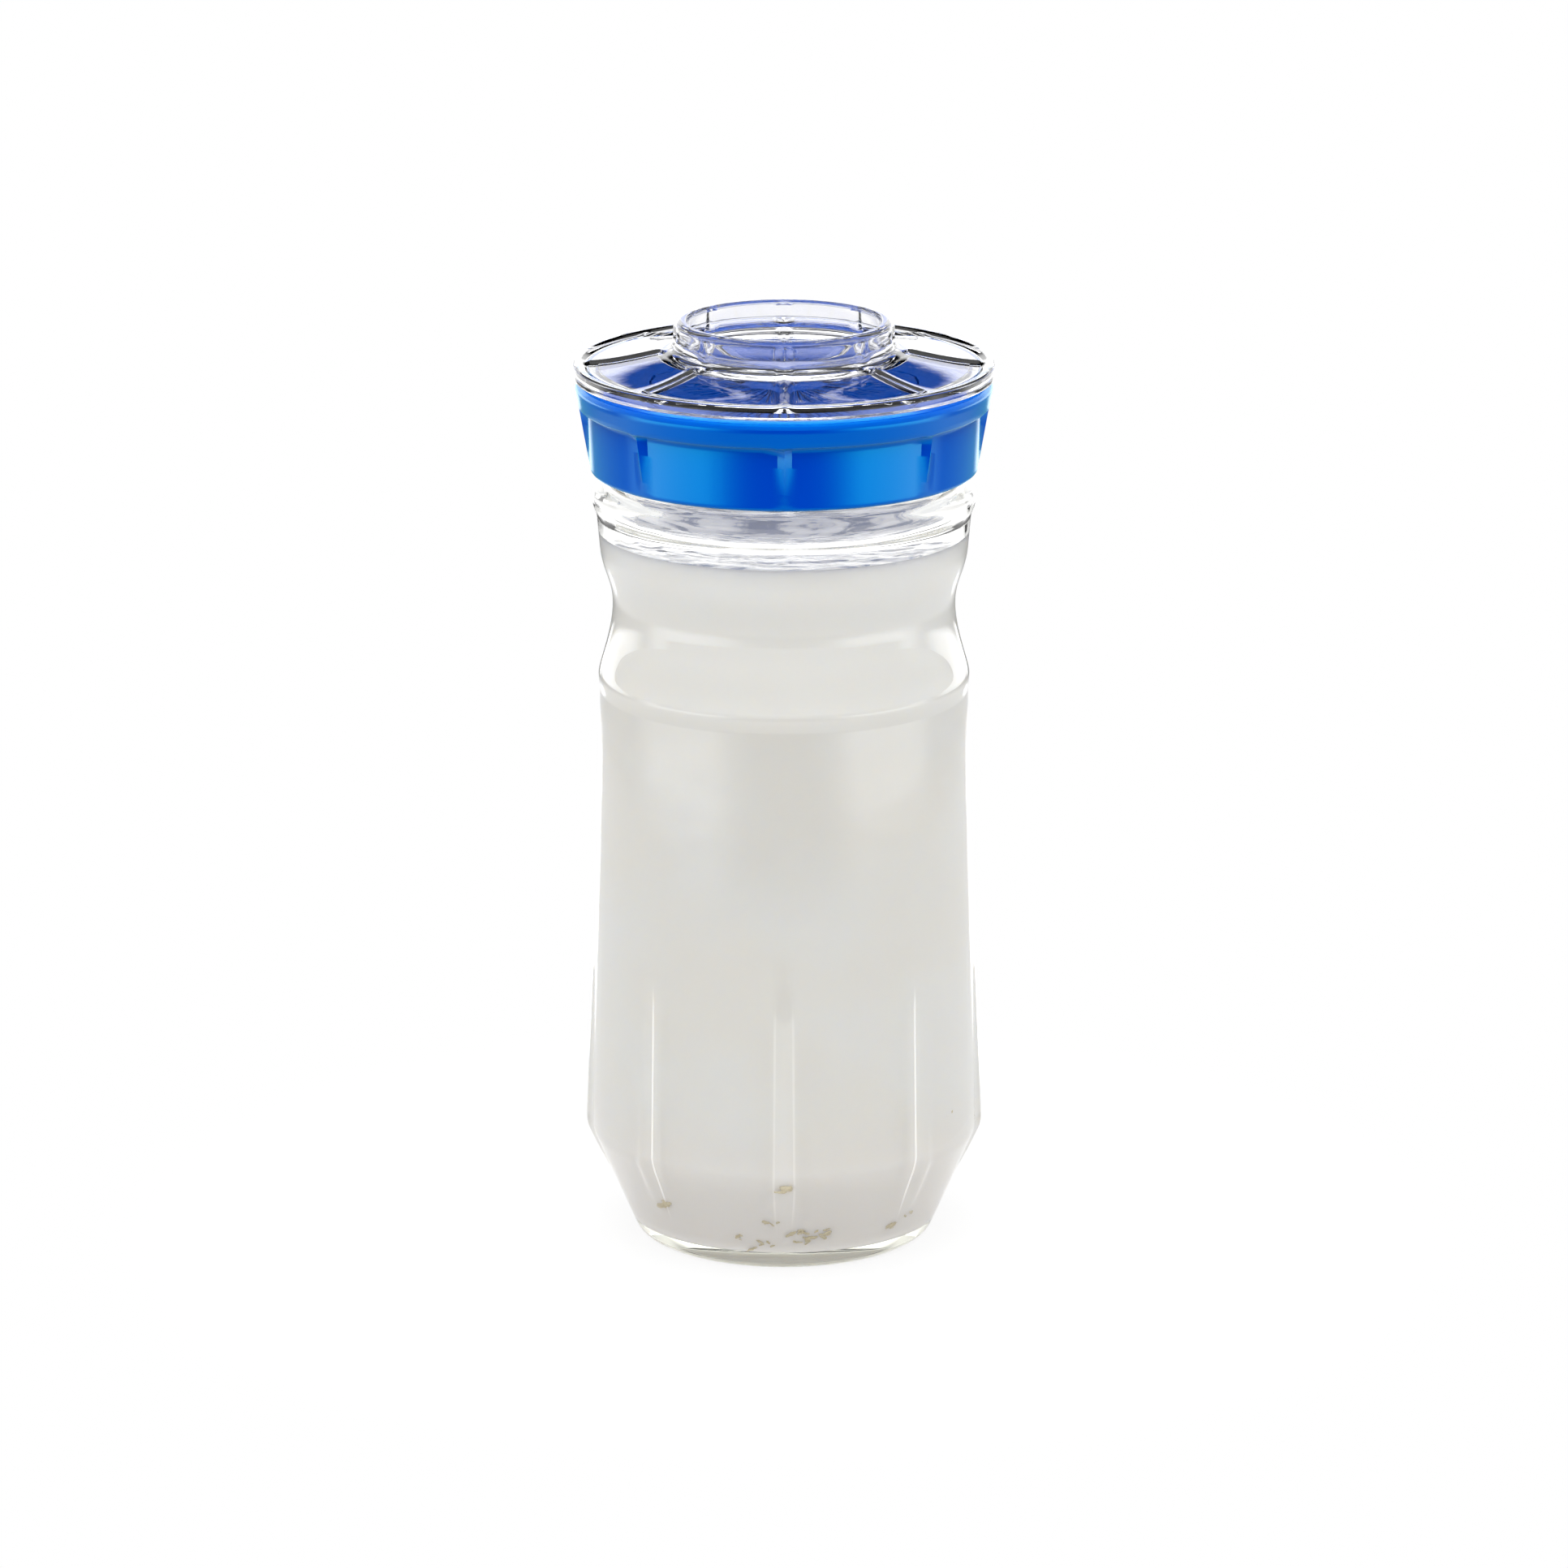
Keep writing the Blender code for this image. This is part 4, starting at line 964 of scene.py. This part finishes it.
def make_world():
    """The room's light by direction, for each way in which light reaches the eye, and white behind."""
    world = bpy.data.worlds.new("studio")
    bpy.context.scene.world = world
    world.use_nodes = True
    tree = world.node_tree
    way = add_node(tree, "ShaderNodeTexCoord", {}, {}).outputs["Generated"]
    x, y, z = add_node(tree, SPLIT, {}, {"Vector": way}).outputs
    high = result(tree, RANGE, SOFTLY, z, 0.26, 0.33)
    # Two walls stand behind at both sides, off the floor
    aside = result(tree, MATH, SIZE, x)
    walls = result(tree, MATH, TIMES, result(tree, RANGE, SOFTLY, aside, 0.45, 0.65),
                   result(tree, RANGE, SOFTLY, aside, 0.88, 0.72))
    walls = result(tree, MATH, TIMES, walls, result(tree, RANGE, SOFTLY, y, -0.2, 0.05))
    walls = result(tree, MATH, TIMES, walls, result(tree, RANGE, SOFTLY, z, 0.8, 0.6))
    walls = result(tree, MATH, TIMES, walls, result(tree, RANGE, SOFTLY, z, 0.0, 0.08))
    # Where the back, the high front and the top begin, in the soft room and, narrower, in the mirrored one
    wide = (
        result(tree, RANGE, SOFTLY, y, -0.2, 0.3),
        result(tree, RANGE, SOFTLY, z, 0.1, 0.35),
        result(tree, RANGE, SOFTLY, z, 0.66, 0.85),
    )
    narrow = (
        result(tree, RANGE, SOFTLY, y, 0.7, 0.85),
        result(tree, MATH, TIMES, result(tree, RANGE, SOFTLY, z, 0.5, 0.75),
               result(tree, RANGE, SOFTLY, y, 0.3, 0.0)),
        result(tree, RANGE, SOFTLY, z, 0.8, 0.95),
    )

    def room(zones, light):
        """The brightness that a room's light has in these zones, between them and on the walls."""
        behind, above, overhead = zones
        front = result(tree, RANGE, {}, above, 0.0, 1.0, light["front"], light["front_high"])
        back = result(tree, RANGE, {}, high, 0.0, 1.0, light["back"], light["back_high"])
        level = result(tree, RANGE, {}, behind, 0.0, 1.0, front, back)
        level = result(tree, RANGE, {}, overhead, 0.0, 1.0, level, light["top"])
        return result(tree, MATH, PLUS, level, result(tree, MATH, TIMES, walls, light["walls"]))

    path = add_node(tree, "ShaderNodeLightPath", {}, {})
    mirrored = only_mirrored(tree, path)
    soft, sharp = room(wide, SOFT_ROOM), room(narrow, MIRRORED_ROOM)
    strength = result(tree, RANGE, {}, mirrored, 0.0, 1.0, soft, sharp)
    through = path.outputs["Is Transmission Ray"]
    strength = result(tree, RANGE, {}, through, 0.0, 1.0, strength, room(wide, CLEAR_ROOM))
    strength = result(tree, RANGE, {}, path.outputs["Is Camera Ray"], 0.0, 1.0, strength, 1.0)
    background = tree.nodes["Background"]
    background.inputs["Color"].default_value = (1, 1, 1, 1)
    tree.links.new(strength, background.inputs["Strength"])


def make_camera():
    """The photograph's view: from the front, 15.6 degrees down, from 1.65 m with a long lens."""
    elevation, distance, target = math.radians(15.6), 1.65, 109 * MM
    back = Vector((0, -math.cos(elevation), math.sin(elevation)))
    camera_data = bpy.data.cameras.new("camera")
    camera_data.sensor_width = 36
    camera_data.sensor_fit = "HORIZONTAL"
    camera_data.lens = 160.5
    camera = bpy.data.objects.new("camera", camera_data)
    camera.location = Vector((0, 0, target)) + back * distance
    camera.rotation_euler = back.to_track_quat("Z", "Y").to_euler()
    camera_data.clip_end = 50
    bpy.context.scene.collection.objects.link(camera)
    bpy.context.scene.camera = camera


# The pieces
glass = pressed_soda_lime_glass()
clear_plastic = injection_moulded_clear_plastic()
blue_plastic = moulded_blue_polypropylene()
blue_satin_painted_shade = satin_blue_polypropylene_painted_shade()
silicone = moulded_silicone()

milk_materials = [fermented_milk("fermented_milk"), fermented_milk("fermented_milk_surface", top=True)]
finish_piece(make_jar(), "jar", [glass], "glass_jar")
finish_piece(make_milk(), "jar", milk_materials)
finish_piece(make_grains(), "jar", [kefir_curd()])
finish_piece(
    make_seal("silicone_jar_seal", JAR_SEAL_RADII, SEAL_BOTTOM, SEAL_TOP),
    "jar_seal", [silicone], "jar_seal",
)
finish_piece(make_lid_base(), "lid_base", [blue_plastic, blue_satin_painted_shade], "lid_base")
finish_piece(make_strainer(), "strainer", [blue_satin_painted_shade], "strainer")
finish_piece(
    make_seal("silicone_cover_seal", COVER_SEAL_RADII, COVER_SEAL_BOTTOM, COVER_SEAL_TOP),
    "cover_seal", [silicone], "cover_seal",
)
finish_piece(make_cover(), "top_cover", [clear_plastic], "top_cover")

make_floor()
make_world()
make_camera()
bpy.context.scene.view_settings.view_transform = "Standard"
